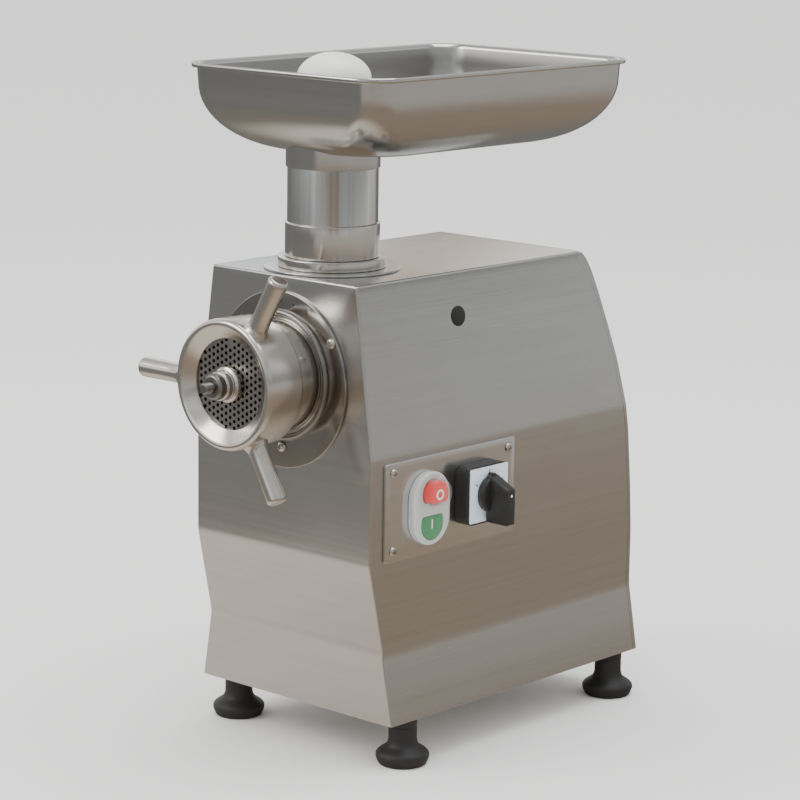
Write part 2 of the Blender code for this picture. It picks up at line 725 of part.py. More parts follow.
def gear_outline(teeth, first):
    """A spur gear's outline with straight flanks. first is the angle of one tooth's middle."""
    pitch = MODULE * teeth / 2
    tip = pitch + 0.85 * MODULE
    root = pitch - 1.15 * MODULE
    half = (math.pi * MODULE / 2 - 0.9) / 2
    lean = math.tan(math.radians(20))
    corners = (
        (root, -(half + (pitch - root) * lean)), (tip, -(half - (tip - pitch) * lean)),
        (tip, half - (tip - pitch) * lean), (root, half + (pitch - root) * lean),
    )
    points = []
    for tooth in range(teeth):
        middle = math.radians(first) + 2 * math.pi * tooth / teeth
        for radius, offset in corners:
            turn = middle + offset / radius
            points.append((radius * math.cos(turn), radius * math.sin(turn)))
    return points


def gear(name, teeth, first, y_span, bore, z, finish, holder):
    """A gear on the axis at height z. With no bore it is a blank for joining to a shaft."""
    outlines = [gear_outline(teeth, first)]
    if bore:
        outlines.append(circle(bore, 18))
    span = (-y_span[1], -y_span[0])
    return flat(name, outlines, span, finish, (0, 0, z), FORWARD, holder)


def bearing(name, shaft, outer, y_span, z):
    """A ball bearing as one ring."""
    profile = ((shaft, y_span[0]), (outer, y_span[0]), (outer, y_span[1]), (shaft, y_span[1]))
    turned_head(name, profile, "machine_steel", z=z, steps=16)


def gearbox():
    """Cast housing that opens to the rear, and the cover that closes it and carries the motor."""
    outside = obround(65.0, MOTOR_Z - HEAD_Z, 0.0)
    inside = obround(60.0, MOTOR_Z - HEAD_Z, 0.0)
    at = (0, 0, HEAD_Z)
    housing = flat("gearbox_housing", [outside], (-BOX_REAR, -BOX_FRONT), "cast_aluminium", at, FORWARD)
    cavity = flat("gearbox_cavity", [inside], (-BOX_REAR - 5, -BOX_CAVITY), None, at, FORWARD)
    front_bore = drum("output_front_bore", 31.6, (-150, -120), None, at, FORWARD)
    idler = (0, 0, IDLER_Z)
    idler_pocket = drum("idler_front_pocket", 18.2, (-150, -130.6), None, idler, FORWARD, steps=16)
    cut(housing, cavity, front_bore, idler_pocket)

    span = (-COVER_REAR, -BOX_REAR - GAP)
    cover = flat("gearbox_cover", [outside], span, "cast_aluminium", at, FORWARD)
    pockets = (("output", HEAD_Z, 24.2), ("idler", IDLER_Z, 18.2), ("motor", MOTOR_Z, 18.2))
    for name, z, radius in pockets:
        place = (0, 0, z)
        cut(cover, drum(f"{name}_rear_pocket", radius, (-195.0, -180), None, place, FORWARD, steps=16))
    motor = (0, 0, MOTOR_Z)
    cut(cover, drum("motor_shaft_hole", 8.6, (-200, -190), None, motor, FORWARD, steps=12))


def bearings():
    bearing("output_bearing_front", 17.6, 31.0, (131.4, 141.4), HEAD_Z)
    bearing("output_bearing_rear", 12.5, 23.5, (184.8, 194.6), HEAD_Z)
    bearing("shaft_seal", 17.6, 31.0, (126.3, 131.0), HEAD_Z)
    bearing("idler_bearing_front", 8.3, 17.5, (131.0, 141.0), IDLER_Z)
    bearing("idler_bearing_rear", 8.3, 17.5, (184.8, 194.6), IDLER_Z)
    bearing("motor_bearing_front", 8.3, 17.5, (184.8, 194.6), MOTOR_Z)
    bearing("motor_bearing_rear", 8.3, 17.5, (297.0, 306.6), MOTOR_Z)


def output_train():
    """The slow gear and its shaft, whose front end is the socket for the worm's tang."""
    gear("output_gear", OUTPUT_TEETH, -90 + 180 / OUTPUT_TEETH, SLOW_STAGE, 15.3, HEAD_Z,
         "machine_steel", "output_joint")
    profile = (
        (0, 123.0), (17.0, 123.0), (17.0, 142.6), (15.0, 142.6), (15.0, 165.0), (12.0, 165.0),
        (12.0, 194.6), (0, 194.6),
    )
    shaft = turned_head("output_shaft", profile, "machine_steel", "output_joint", steps=20)
    low = (-9.3, 118.0, HEAD_Z - 9.3)
    high = (9.3, 141.5, HEAD_Z + 9.3)
    cut(shaft, box("drive_socket", low, high, None, "output_joint"))


def idler_train():
    """The middle gear, and its shaft with the slow stage's pinion cut on it."""
    gear("idler_gear", IDLER_TEETH, -90 + 180 / IDLER_TEETH, FAST_STAGE, 12.3, IDLER_Z,
         "machine_steel", "idler_joint")
    profile = (
        (0, 131.2), (8.0, 131.2), (8.0, 142.0), (12.0, 142.8), (12.0, 183.6), (8.0, 184.0),
        (8.0, 194.4), (0, 194.4),
    )
    shaft = turned_head("idler_shaft", profile, "machine_steel", "idler_joint", IDLER_Z, 12)
    pinion = gear("idler_pinion", IDLER_PINION_TEETH, 90, SLOW_STAGE, 0, IDLER_Z, None, "idler_joint")
    join(shaft, pinion)


def motor_train():
    """Motor shaft with its pinion, rotor and cooling fan."""
    profile = (
        (0, 165.0), (12.0, 165.0), (12.0, 183.6), (8.0, 184.0), (8.0, 205.0), (12.0, 205.6),
        (12.0, 287.0), (8.0, 287.6), (8.0, 309.0), (6.0, 309.6), (6.0, 330.0), (0, 330.0),
    )
    shaft = turned_head("motor_shaft", profile, "machine_steel", "motor_joint", MOTOR_Z, 12)
    join(shaft, gear("motor_pinion", MOTOR_TEETH, 90, FAST_STAGE, 0, MOTOR_Z, None, "motor_joint"))
    rotor = ((12.3, 206.0), (34.0, 206.0), (34.0, 286.0), (12.3, 286.0))
    turned_head("rotor", rotor, "machine_steel", "motor_joint", MOTOR_Z, 24)
    blades = []
    for blade in range(8):
        for radius, offset in ((12.0, 0), (48.0, 4), (48.0, 14), (12.0, 20)):
            turn = math.radians(45 * blade + offset)
            blades.append((radius * math.cos(turn), radius * math.sin(turn)))
    flat("cooling_fan", [blades, circle(6.3, 16)], (-327.0, -314.0), "black_plastic",
         (0, 0, MOTOR_Z), FORWARD, "motor_joint")


def motor_case():
    """Motor shell, wound stator and rear end cap."""
    inner = MOTOR_RADIUS - 4.0
    front = COVER_REAR + GAP
    shell = ((inner, front), (MOTOR_RADIUS, front), (MOTOR_RADIUS, MOTOR_REAR), (inner, MOTOR_REAR))
    turned_head("motor_housing", shell, "motor_paint", z=MOTOR_Z)
    core = inner - GAP
    stator = (
        (34.7, 204.0), (50.0, 204.0), (core, 212.0), (core, 280.0), (50.0, 290.0), (34.7, 290.0),
    )
    turned_head("stator", stator, "copper_core", z=MOTOR_Z)
    front = MOTOR_REAR + GAP
    cap = (
        (17.8, front), (MOTOR_RADIUS, front), (MOTOR_RADIUS, 304.0), (56.0, 308.6), (8.6, 308.6),
        (8.6, 306.9), (17.8, 306.9),
    )
    turned_head("motor_end_cap", cap, "cast_aluminium", z=MOTOR_Z)


def capacitor():
    at = (-76, 265, 0)
    profile = ((0, 118.0), (17.0, 118.0), (18.0, 116.0), (18.0, 44.5), (0, 44.5))
    turned("start_capacitor", profile, "motor_paint", at, steps=16)


# Controls


def panel_screw_place(i):
    return (24.5, 170.5)[i % 2], (189.3, 255.4)[i // 2]


def panel_screw_hole(owner, i):
    y, z = panel_screw_place(i)
    return drum(f"{owner}_panel_hole_{i + 1}", 2.3, (-8, 8), None, (SIDE_FACE, y, z), SIDEWAYS, steps=8)


def control_holes(owner):
    """The openings behind the push-buttons and the switch."""
    y, z = BUTTONS_YZ
    outline = obround(7.0, -BUTTON_SPREAD, BUTTON_SPREAD, 6)
    at = (SIDE_FACE, y, z)
    slot = flat(f"{owner}_button_opening", [outline], (-8, 8), None, at, SIDEWAYS)
    y, z = SWITCH_YZ
    at = (SIDE_FACE, y, z)
    return slot, drum(f"{owner}_switch_opening", 11.4, (-8, 8), None, at, SIDEWAYS, steps=16)


def control_plate():
    low = (PANEL_Y[0], PANEL_Z[0])
    high = (PANEL_Y[1], PANEL_Z[1])
    outline = rounded_rectangle(low, high, 2.5, 2)
    span = (SIDE_FACE + GAP, PANEL_FACE)
    plate = flat("control_plate", [outline], span, "brushed_steel", (0, 0, 0), SIDEWAYS)
    cut(plate, *control_holes("plate"), *[panel_screw_hole("plate", i) for i in range(4)])


def control_screws():
    profile = ((0, 2.3), (2.2, 2.0), (3.9, 0.9), (3.9, GAP), (2.0, GAP), (2.0, -7.0), (0, -7.0))
    for i in range(4):
        y, z = panel_screw_place(i)
        at = (PANEL_FACE, y, z)
        turned(f"control_screw_{i + 1}", profile, "polished_steel", at, SIDEWAYS, steps=12)


def d_outline(radius, foot, steps=10):
    """A half-round key's outline: round above, flat at height foot."""
    side = math.degrees(math.asin(foot / radius))
    return arc((0, 0), radius, side, 180 - side, steps)


def push_buttons():
    """Start and stop buttons in their bezel, under a clear rubber boot."""
    y, z = BUTTONS_YZ
    middle = (0, y, z)
    frame = [obround(22.6, -8.7, 8.7, 8), obround(14.0, -BUTTON_SPREAD, BUTTON_SPREAD, 8)]
    flat("button_bezel", frame, (PANEL_FACE + GAP, 112.0), "white_plastic", middle, SIDEWAYS)

    stop_at = (0, y, z + BUTTON_SPREAD)
    skin = flat("button_boot", [obround(21.4, -8.7, 8.7, 8)], (112.3, 113.5), "clear_rubber", middle,
                SIDEWAYS)
    join(skin, flat("boot_dome", [d_outline(13.4, -8.6)], (112.3, 123.0), None, stop_at, SIDEWAYS))
    cut(skin, flat("boot_hollow", [d_outline(12.2, -7.4)], (110.0, 121.8), None, stop_at, SIDEWAYS))

    stop = flat("stop_button", [d_outline(11.4, -6.6)], (108.2, 120.4), "red_plastic", stop_at,
                SIDEWAYS, "stop_joint")
    join(stop, drum("stop_stem", 3.0, (99.5, 110), None, stop_at, SIDEWAYS, "stop_joint", 12))
    start_at = (0, y, z - BUTTON_SPREAD)
    key = [(x, -h) for x, h in d_outline(13.4, -7.0)]
    start = flat("start_button", [key], (108.2, 111.7), "green_plastic", start_at, SIDEWAYS,
                 "start_joint")
    join(start, drum("start_stem", 3.0, (99.5, 110), None, start_at, SIDEWAYS, "start_joint", 12))
    box("contact_block", (68, y - 18, z - 26), (96.5, y + 18, z + 26), "black_plastic")


def cam_switch():
    """Rotary switch: black body with its cams behind the panel, square plate and lever knob."""
    y, z = SWITCH_YZ
    at = (0, y, z)
    base = rounded_rectangle((-26.4, -25.6), (25.6, 24.8), 9.0)
    body = flat("switch_body", [base], (PANEL_FACE + GAP, 119.6), "black_plastic", at, SIDEWAYS)
    join(body, drum("switch_cams", 11.0, (72, 108), None, at, SIDEWAYS, steps=16))
    cut(body, drum("spindle_hole", 5.4, (108.7, 130), None, at, SIDEWAYS, steps=12))
    square = [rounded_rectangle((-24.2, -23.4), (24.2, 23.4), 1.6, 2), circle(5.4, 12)]
    flat("switch_plate", square, (119.9, SWITCH_FACE), "grey_label", at, SIDEWAYS)

    holder = "knob_joint"
    hub = ((0, 127.6), (14.2, 127.6), (15.6, 126.0), (15.6, SWITCH_FACE + GAP), (5.0, SWITCH_FACE + GAP),
           (5.0, 109.2), (0, 109.2))
    knob = turned("switch_knob", hub, "black_plastic", at, SIDEWAYS, holder, 20)
    sections = ((124.0, -24.0, 16.6, 6.2), (144.5, -24.4, 7.6, 5.4), (KNOB_REACH, -23.2, 6.2, 4.4))
    loops = []
    for x, low, high, half in sections:
        loops.append([
            (x, y - half, z + low), (x, y + half, z + low), (x, y + half, z + high),
            (x, y - half, z + high),
        ])
    join(knob, loft("knob_grip", loops, None, holder))


clear_scene()
PARTS, TOOLS = make_collections()
materials = {name: make_finish(name) for name in FINISHES}

make_holder("machine", (0, 0, 0))
make_holder("feed_tube_joint", (0, TUBE_Y, COLLAR_TOP), "machine")
make_holder("tray_joint", (0, TUBE_Y, TRAY_FLOOR), "feed_tube_joint")
make_holder("pusher_joint", (0, TUBE_Y, TRAY_FLOOR), "tray_joint")
make_holder("barrel_joint", (0, 0, HEAD_Z), "machine")
make_holder("cutting_joint", (0, PLATE_FACE, HEAD_Z), "barrel_joint")
make_holder("nut_joint", (0, PLATE_FACE, HEAD_Z), "cutting_joint")
make_holder("worm_joint", (0, PLATE_FACE, HEAD_Z), "cutting_joint")
make_holder("output_joint", (0, BOX_FRONT, HEAD_Z), "machine")
make_holder("idler_joint", (0, BOX_FRONT, IDLER_Z), "machine")
make_holder("motor_joint", (0, BOX_FRONT, MOTOR_Z), "machine")
make_holder("stop_joint", (PANEL_FACE, BUTTONS_YZ[0], BUTTONS_YZ[1] + BUTTON_SPREAD), "machine")
make_holder("start_joint", (PANEL_FACE, BUTTONS_YZ[0], BUTTONS_YZ[1] - BUTTON_SPREAD), "machine")
make_holder("knob_joint", (SWITCH_FACE, *SWITCH_YZ), "machine")

casing_shell()
rear_cover()
base_plate()
feet()
hole_plug()
cable_gland()
throat_rings()
feed_tube()
tray()
pusher()
front_flange()
flange_screws()
barrel()
cutting_plate()
ring_nut()
worm()
worm_stud()
knife()
stud_fittings()
gearbox()
bearings()
output_train()
idler_train()
motor_train()
motor_case()
capacitor()
control_plate()
control_screws()
push_buttons()
cam_switch()
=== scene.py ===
"""Detailed surfaces, finishes and studio for the electric meat grinder.

Lengths are in millimetres in the machine's own frame: x = 0 is the plane through the grinding head,
y = 0 is the casing's front, z = 0 is the worktop. Each piece's mesh is kept in that frame, in metres,
and its object stands at ORIGIN.
"""

import math

import bmesh
import bpy
from mathutils import Matrix, Vector


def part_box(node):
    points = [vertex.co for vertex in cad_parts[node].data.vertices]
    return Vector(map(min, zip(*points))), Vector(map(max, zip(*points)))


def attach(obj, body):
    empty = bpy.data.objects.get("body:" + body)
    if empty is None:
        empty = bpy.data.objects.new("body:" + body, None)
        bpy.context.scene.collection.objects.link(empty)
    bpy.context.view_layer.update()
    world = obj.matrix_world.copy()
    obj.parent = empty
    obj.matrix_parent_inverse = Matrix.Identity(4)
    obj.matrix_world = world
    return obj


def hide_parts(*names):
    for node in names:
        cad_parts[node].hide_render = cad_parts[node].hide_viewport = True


bl_info = {
    "name": "Meat Grinder Looks",
    "version": (1, 0, 0),
    "blender": (4, 5, 0),
    "location": "View3D > Sidebar > Grinder",
    "description": "Builds the fine surfaces and finishes of an electric meat grinder",
    "category": "Object",
}

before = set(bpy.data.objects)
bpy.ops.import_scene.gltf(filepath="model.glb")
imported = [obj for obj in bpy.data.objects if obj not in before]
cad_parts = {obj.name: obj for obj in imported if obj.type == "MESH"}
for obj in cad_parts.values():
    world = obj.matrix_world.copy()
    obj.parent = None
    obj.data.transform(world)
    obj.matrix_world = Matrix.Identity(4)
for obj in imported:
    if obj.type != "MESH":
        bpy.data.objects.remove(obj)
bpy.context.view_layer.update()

MM = 0.001


def middle(node):
    low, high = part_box(node)
    return (low + high) / 2


HEAD_AXIS = middle("stud_nut")
ORIGIN = Vector((HEAD_AXIS.x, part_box("casing_shell")[0].y, 0.0))
HEAD_Z = HEAD_AXIS.z / MM
TUBE_Y = (middle("throat_disc").y - ORIGIN.y) / MM
CASING_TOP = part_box("casing_shell")[1].z / MM
CASING_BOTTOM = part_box("casing_shell")[0].z / MM

# The axes of a piece that stands up, faces forward, faces the control side, or faces back.
UP = Matrix.Identity(4)
FRONT = Matrix(((1, 0, 0, 0), (0, 0, -1, 0), (0, 1, 0, 0), (0, 0, 0, 1)))
SIDE = Matrix(((0, 0, 1, 0), (1, 0, 0, 0), (0, 1, 0, 0), (0, 0, 0, 1)))
BACK = Matrix(((1, 0, 0, 0), (0, 0, 1, 0), (0, -1, 0, 0), (0, 0, 0, 1)))


# Outlines


def soften(points, reach=0.4, steps=3, closed=True):
    """Rounds the corners of a profile. A point may carry its own rounding as a third number."""
    result = []
    last = len(points) - 1
    for i, point in enumerate(points):
        here = Vector(point[:2])
        size = point[2] if len(point) > 2 else reach
        if size <= 0 or (not closed and i in (0, last)):
            result.append(tuple(here))
            continue
        before = Vector(points[i - 1][:2]) - here
        after = Vector(points[(i + 1) % len(points)][:2]) - here
        size = min(size, 0.45 * before.length, 0.45 * after.length)
        start = here + before.normalized() * size
        end = here + after.normalized() * size
        for step in range(steps + 1):
            t = step / steps
            spot = start * (1 - t) ** 2 + here * 2 * t * (1 - t) + end * t ** 2
            result.append(tuple(spot))
    return result


def arc(centre, radius, start, end, steps):
    """Points on an arc, angles in degrees."""
    points = []
    for i in range(steps + 1):
        turn = math.radians(start + (end - start) * i / steps)
        points.append((centre[0] + radius * math.cos(turn), centre[1] + radius * math.sin(turn)))
    return points


def obround(radius, half, steps=24):
    """An upright slot shape: half circles centred half above and half below the middle."""
    return arc((0, half), radius, 0, 180, steps) + arc((0, -half), radius, 180, 360, steps)


def rounded_rectangle(low, high, radius, steps=8):
    radius = max(radius, 0.05)
    corners = (
        ((high[0] - radius, high[1] - radius), 0), ((low[0] + radius, high[1] - radius), 90),
        ((low[0] + radius, low[1] + radius), 180), ((high[0] - radius, low[1] + radius), 270),
    )
    points = []
    for centre, start in corners:
        points += arc(centre, radius, start, start + 90, steps)
    return points


def at_height(profile, height):
    """The distance that a (height, distance) profile has at a height."""
    for (z0, d0), (z1, d1) in zip(profile, profile[1:]):
        if height <= z1:
            return d0 + (d1 - d0) * (height - z0) / (z1 - z0)
    return profile[-1][1]


# Meshes

SHARP_ANGLE = 38


def smooth(mesh):
    """Shades a mesh smooth, with its corners kept sharp."""
    mesh.shade_smooth()
    mesh.set_sharp_from_angle(angle=math.radians(SHARP_ANGLE))


def to_mesh(shape, name):
    """Turns a bmesh in millimetres into a mesh in metres."""
    bmesh.ops.scale(shape, vec=(MM, MM, MM), verts=shape.verts)
    mesh = bpy.data.meshes.new(name)
    shape.to_mesh(mesh)
    shape.free()
    return mesh


def finish_mesh(shape, name):
    """Closes a bmesh's seams, turns its faces outward and makes a smooth mesh of it."""
    bmesh.ops.remove_doubles(shape, verts=shape.verts, dist=1e-4)
    bmesh.ops.recalc_face_normals(shape, faces=shape.faces)
    mesh = to_mesh(shape, name)
    smooth(mesh)
    return mesh


def link(name, mesh):
    piece = bpy.data.objects.new(name, mesh)
    bpy.context.scene.collection.objects.link(piece)
    piece.location = ORIGIN
    return piece


def skin(name, loops, axes=UP, at=(0, 0, 0)):
    """A closed surface through loops of equal length, each a list of (x, y, z)."""
    shape = bmesh.new()
    place = Matrix.Translation(Vector(at)) @ axes
    rows = [[shape.verts.new(place @ Vector(point)) for point in loop] for loop in loops]
    for lower, upper in zip(rows, rows[1:]):
        for i in range(len(lower)):
            j = (i + 1) % len(lower)
            shape.faces.new((lower[i], lower[j], upper[j], upper[i]))
    shape.faces.new(rows[-1])
    shape.faces.new(list(reversed(rows[0])))
    return link(name, finish_mesh(shape, name))


def lathe(name, profile, axes=UP, at=(0, 0, 0), steps=96):
    """A turned piece from (radius, height) points. It is a ring unless it starts on the axis."""
    shape = bmesh.new()
    place = Matrix.Translation(Vector(at)) @ axes
    turns = [2 * math.pi * i / steps for i in range(steps)]
    rows = []
    for radius, height in profile:
        if radius < 1e-6:
            rows.append([shape.verts.new(place @ Vector((0, 0, height)))] * steps)
        else:
            rows.append([
                shape.verts.new(place @ Vector((radius * math.cos(t), radius * math.sin(t), height)))
                for t in turns
            ])
    ring = profile[0][0] > 1e-6
    for lower, upper in zip(rows, rows[1:] + rows[:1] if ring else rows[1:]):
        for i in range(steps):
            j = (i + 1) % steps
            corners = []
            for vert in (lower[i], lower[j], upper[j], upper[i]):
                if vert not in corners:
                    corners.append(vert)
            if len(corners) > 2:
                shape.faces.new(corners)
    return link(name, finish_mesh(shape, name))


def head_lathe(name, profile, steps=96, z=None):
    """A turned piece on an axis along y, from (radius, y) points that run from front to rear."""
    points = [(radius, -y) for radius, y in profile]
    return lathe(name, points, FRONT, (0, 0, HEAD_Z if z is None else z), steps)


def slab(name, outline, low, high, edge=0.5, axes=UP, at=(0, 0, 0), steps=3):
    """A flat piece whose upper rim is rounded by edge. outline(inset) gives its points."""
    levels = [(0.0, low)]
    for i in range(steps + 1):
        turn = math.pi / 2 * i / steps
        levels.append((edge * (1 - math.cos(turn)), high - edge * (1 - math.sin(turn))))
    loops = [[(x, y, height) for x, y in outline(inset)] for inset, height in levels]
    return skin(name, loops, axes, at)


def block(name, low, high, edge=0.4):
    """A box with rounded edges between two corners."""
    shape = bmesh.new()
    bmesh.ops.create_cube(shape, size=1.0)
    size = Vector(high) - Vector(low)
    bmesh.ops.scale(shape, vec=size, verts=shape.verts)
    if edge:
        bmesh.ops.bevel(
            shape, geom=shape.edges[:], offset=edge, segments=3, affect="EDGES", profile=0.5,
        )
    bmesh.ops.translate(shape, vec=(Vector(low) + Vector(high)) / 2, verts=shape.verts)
    return link(name, finish_mesh(shape, name))


def settle(piece):
    """Applies the piece's modifiers to its mesh."""
    bpy.context.view_layer.update()
    graph = bpy.context.evaluated_depsgraph_get()
    mesh = bpy.data.meshes.new_from_object(piece.evaluated_get(graph))
    piece.modifiers.clear()
    piece.data = mesh
    smooth(mesh)
    return piece


def combine(piece, operation, tools):
    for tool in tools:
        step = piece.modifiers.new(tool.name, "BOOLEAN")
        step.operation = operation
        step.object = tool
        step.solver = "EXACT"
    settle(piece)
    for tool in tools:
        bpy.data.objects.remove(tool)
    return piece


def cut(piece, *tools):
    return combine(piece, "DIFFERENCE", tools)


def join(piece, *tools):
    return combine(piece, "UNION", tools)


def peg(name, radius, low, high, axes=UP, at=(0, 0, 0), steps=48):
    """A plain round cutter."""
    return lathe(name, [(0, high), (radius, high), (radius, low), (0, low)], axes, at, steps)


def fit(piece, look, body, nodes=()):
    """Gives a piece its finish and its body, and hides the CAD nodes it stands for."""
    coat(piece, look)
    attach(piece, body)
    if nodes:
        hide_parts(*nodes)
    return piece


def coat(piece, look):
    """Gives a piece or a CAD node one of the named finishes."""
    piece.data.materials.clear()
    piece.data.materials.append(finish(look))


# Materials


class Nodes:
    """A short way to lay out and wire a node tree."""

    def __init__(self, tree):
        self.tree = tree
        self.tree.nodes.clear()

    def feed(self, value, target):
        """Wires an output into a socket, or sets a constant on it."""
        if isinstance(value, bpy.types.NodeSocket):
            self.tree.links.new(value, target)
        else:
            target.default_value = value

    def add(self, kind, inputs=None, **settings):
        """Adds a node. inputs gives a constant or an output for each socket."""
        node = self.tree.nodes.new(kind)
        for name, value in settings.items():
            setattr(node, name, value)
        for socket, value in (inputs or {}).items():
            self.feed(value, node.inputs[socket])
        return node

    def maths(self, operation, first, second=0.5, **settings):
        """One sum of two values."""
        node = self.add("ShaderNodeMath", {0: first, 1: second}, operation=operation, **settings)
        return node.outputs["Value"]

    def mix(self, share, first, second, **settings):
        """A blend of two colours."""
        colours = [(*c, 1.0) if isinstance(c, tuple) else c for c in (first, second)]
        inputs = {0: share, 6: colours[0], 7: colours[1]}
        return self.add("ShaderNodeMix", inputs, data_type="RGBA", **settings).outputs[2]

    def spread(self, value, low=0.0, high=1.0, start=0.0, end=1.0):
        """A value that runs from start to end, as one from low to high."""
        inputs = {"Value": value, "From Min": start, "From Max": end, "To Min": low, "To Max": high}
        return self.add("ShaderNodeMapRange", inputs).outputs["Result"]

    def noise(self, place, **inputs):
        return self.add("ShaderNodeTexNoise", {"Vector": place, **inputs}).outputs["Fac"]

    def parts(self, vector):
        """The X, Y and Z of a vector."""
        return self.add("ShaderNodeSeparateXYZ", {"Vector": vector}).outputs

    def place(self, system="Object"):
        return self.add("ShaderNodeTexCoord").outputs[system]

    def ramp(self, value, stops):
        """The colour at a value along (position, colour) stops."""
        node = self.add("ShaderNodeValToRGB", {"Fac": value})
        elements = node.color_ramp.elements
        elements.remove(elements[-1])
        elements[0].position, elements[0].color = stops[0][0], (*stops[0][1], 1.0)
        for position, colour in stops[1:]:
            elements.new(position).color = (*colour, 1.0)
        return node.outputs["Color"]


def new_group(name, inputs, outputs):
    """A shader node group: its layout helper, its inputs' outputs and its outputs' inputs."""
    tree = bpy.data.node_groups.new(name, "ShaderNodeTree")
    for label, default in inputs.items():
        kind = "NodeSocketVector" if isinstance(default, tuple) else "NodeSocketFloat"
        socket = tree.interface.new_socket(label, in_out="INPUT", socket_type=kind)
        socket.default_value = default
    for label in outputs:
        tree.interface.new_socket(label, in_out="OUTPUT", socket_type="NodeSocketFloat")
    nodes = Nodes(tree)
    return nodes, nodes.add("NodeGroupInput").outputs, nodes.add("NodeGroupOutput").inputs


def brush_group():
    """Fine scratches along each sheet: along y on most faces and along x on the faces that look
    forward or back. Gives a height for bump and a soft tone."""
    nodes, given, result = new_group(
        "Brushed Lines", {"Stretch": (900.0, 4.0, 900.0)}, ("Height", "Tone"),
    )
    facing = nodes.parts(nodes.place("Normal"))
    ahead = nodes.maths("GREATER_THAN", nodes.maths("ABSOLUTE", facing["Y"]), 0.75)
    along = nodes.parts(given["Stretch"])
    swapped = nodes.add("ShaderNodeCombineXYZ", {"X": along["Y"], "Y": along["X"], "Z": along["Z"]})
    stretch = nodes.add(
        "ShaderNodeMix", {0: ahead, 4: given["Stretch"], 5: swapped.outputs["Vector"]},
        data_type="VECTOR",
    )
    spot = nodes.add("ShaderNodeMapping", {"Vector": nodes.place(), "Scale": stretch.outputs[1]})
    spot = spot.outputs["Vector"]
    nodes.feed(nodes.noise(spot, Scale=1.0, Detail=3.0, Roughness=0.65), result["Height"])
    nodes.feed(nodes.noise(spot, Scale=0.22, Detail=4.0), result["Tone"])
    return nodes.tree


def smudge_group():
    """Faint, wide marks from handling and wiping, as a mask."""
    nodes, given, result = new_group("Wipe Marks", {"Scale": 9.0, "Amount": 0.5}, ("Mask",))
    marks = nodes.noise(nodes.place(), Scale=given["Scale"], Detail=5.0, Distortion=0.8)
    marks = nodes.spread(marks, start=0.35, end=0.75)
    nodes.feed(nodes.maths("MULTIPLY", marks, given["Amount"]), result["Mask"])
    return nodes.tree


def speckle_group():
    """Fine, even surface texture of moulded or cast pieces."""
    nodes, given, result = new_group("Moulded Grain", {"Scale": 1800.0}, ("Height", "Tone"))
    place = nodes.place()
    nodes.feed(nodes.noise(place, Scale=given["Scale"], Detail=2.0), result["Height"])
    nodes.feed(nodes.noise(place, Scale=30.0, Detail=4.0), result["Tone"])
    return nodes.tree


GROUP_MAKERS = {"brush": brush_group, "smudge": smudge_group, "speckle": speckle_group}
GROUPS = {}


def place_group(nodes, name, **values):
    """Places a shared group, made when first used, and gives its outputs."""
    if name not in GROUPS:
        GROUPS[name] = GROUP_MAKERS[name]()
    return nodes.add("ShaderNodeGroup", values, node_tree=GROUPS[name]).outputs


def start_material(name):
    material = bpy.data.materials.new(name)
    material.use_nodes = True
    nodes = Nodes(material.node_tree)
    shader = nodes.add("ShaderNodeBsdfPrincipled")
    nodes.add("ShaderNodeOutputMaterial", {"Surface": shader.outputs["BSDF"]})
    return material, nodes, shader.inputs


def bump(nodes, height, strength, distance):
    inputs = {"Strength": strength, "Distance": distance, "Height": height}
    return nodes.add("ShaderNodeBump", inputs).outputs["Normal"]


def shade(colour, factor):
    return tuple(min(channel * factor, 1.0) for channel in colour)


def steel(name, colour, roughness, stretch, strength=0.12, smudges=0.5):
    """Brushed or polished steel. stretch is how finely it varies along x, y and z, per metre."""
    material, nodes, shader = start_material(name)
    shader["Metallic"].default_value = 1.0
    brush = place_group(nodes, "brush", Stretch=stretch)
    smudge = place_group(nodes, "smudge", Scale=7.0, Amount=smudges)
    tone = nodes.mix(brush["Tone"], shade(colour, 0.90), shade(colour, 1.08))
    nodes.feed(tone, shader["Base Color"])
    total = nodes.maths("ADD", brush["Tone"], smudge["Mask"], use_clamp=True)
    nodes.feed(nodes.spread(total, roughness * 0.82, roughness * 1.2), shader["Roughness"])
    nodes.feed(bump(nodes, brush["Height"], strength, 0.0003), shader["Normal"])
    return material


def moulded(name, colour, roughness, coat_weight=0.0, grain=0.15, scale=1800.0):
    """Plastic, rubber or paint with a fine moulded grain."""
    material, nodes, shader = start_material(name)
    speckle = place_group(nodes, "speckle", Scale=scale)
    smudge = place_group(nodes, "smudge", Scale=24.0, Amount=0.6)
    tone = nodes.mix(speckle["Tone"], shade(colour, 0.88), shade(colour, 1.1))
    nodes.feed(tone, shader["Base Color"])
    wear = nodes.spread(smudge["Mask"], roughness * 0.9, roughness * 1.25)
    nodes.feed(wear, shader["Roughness"])
    shader["Coat Weight"].default_value = coat_weight
    shader["Coat Roughness"].default_value = 0.15
    nodes.feed(bump(nodes, speckle["Height"], grain, 0.0002), shader["Normal"])
    return material


def clear_plastic(name, colour, alpha):
    """Clear soft plastic: see-through face on, more opaque and paler where it turns away, a painted
    highlight along its rims.
    """
    material, nodes, shader = start_material(name)
    speckle = place_group(nodes, "speckle", Scale=500.0)
    shader["Base Color"].default_value = (*colour, 1.0)
    shader["Coat Weight"].default_value = 1.0
    shader["Coat Roughness"].default_value = 0.06
    nodes.feed(nodes.spread(speckle["Tone"], 0.10, 0.24), shader["Roughness"])
    # Opacity rises where the surface turns away. This shows more of the coat's real reflection there
    # and paints the pale base colour on the rims as a highlight.
    edge = nodes.add("ShaderNodeLayerWeight", {"Blend": 0.5}).outputs["Facing"]
    rim = nodes.maths("POWER", edge, 3.0)
    nodes.feed(nodes.spread(rim, alpha, alpha + 0.8), shader["Alpha"])
    nodes.feed(bump(nodes, speckle["Height"], 0.05, 0.0002), shader["Normal"])
    return material


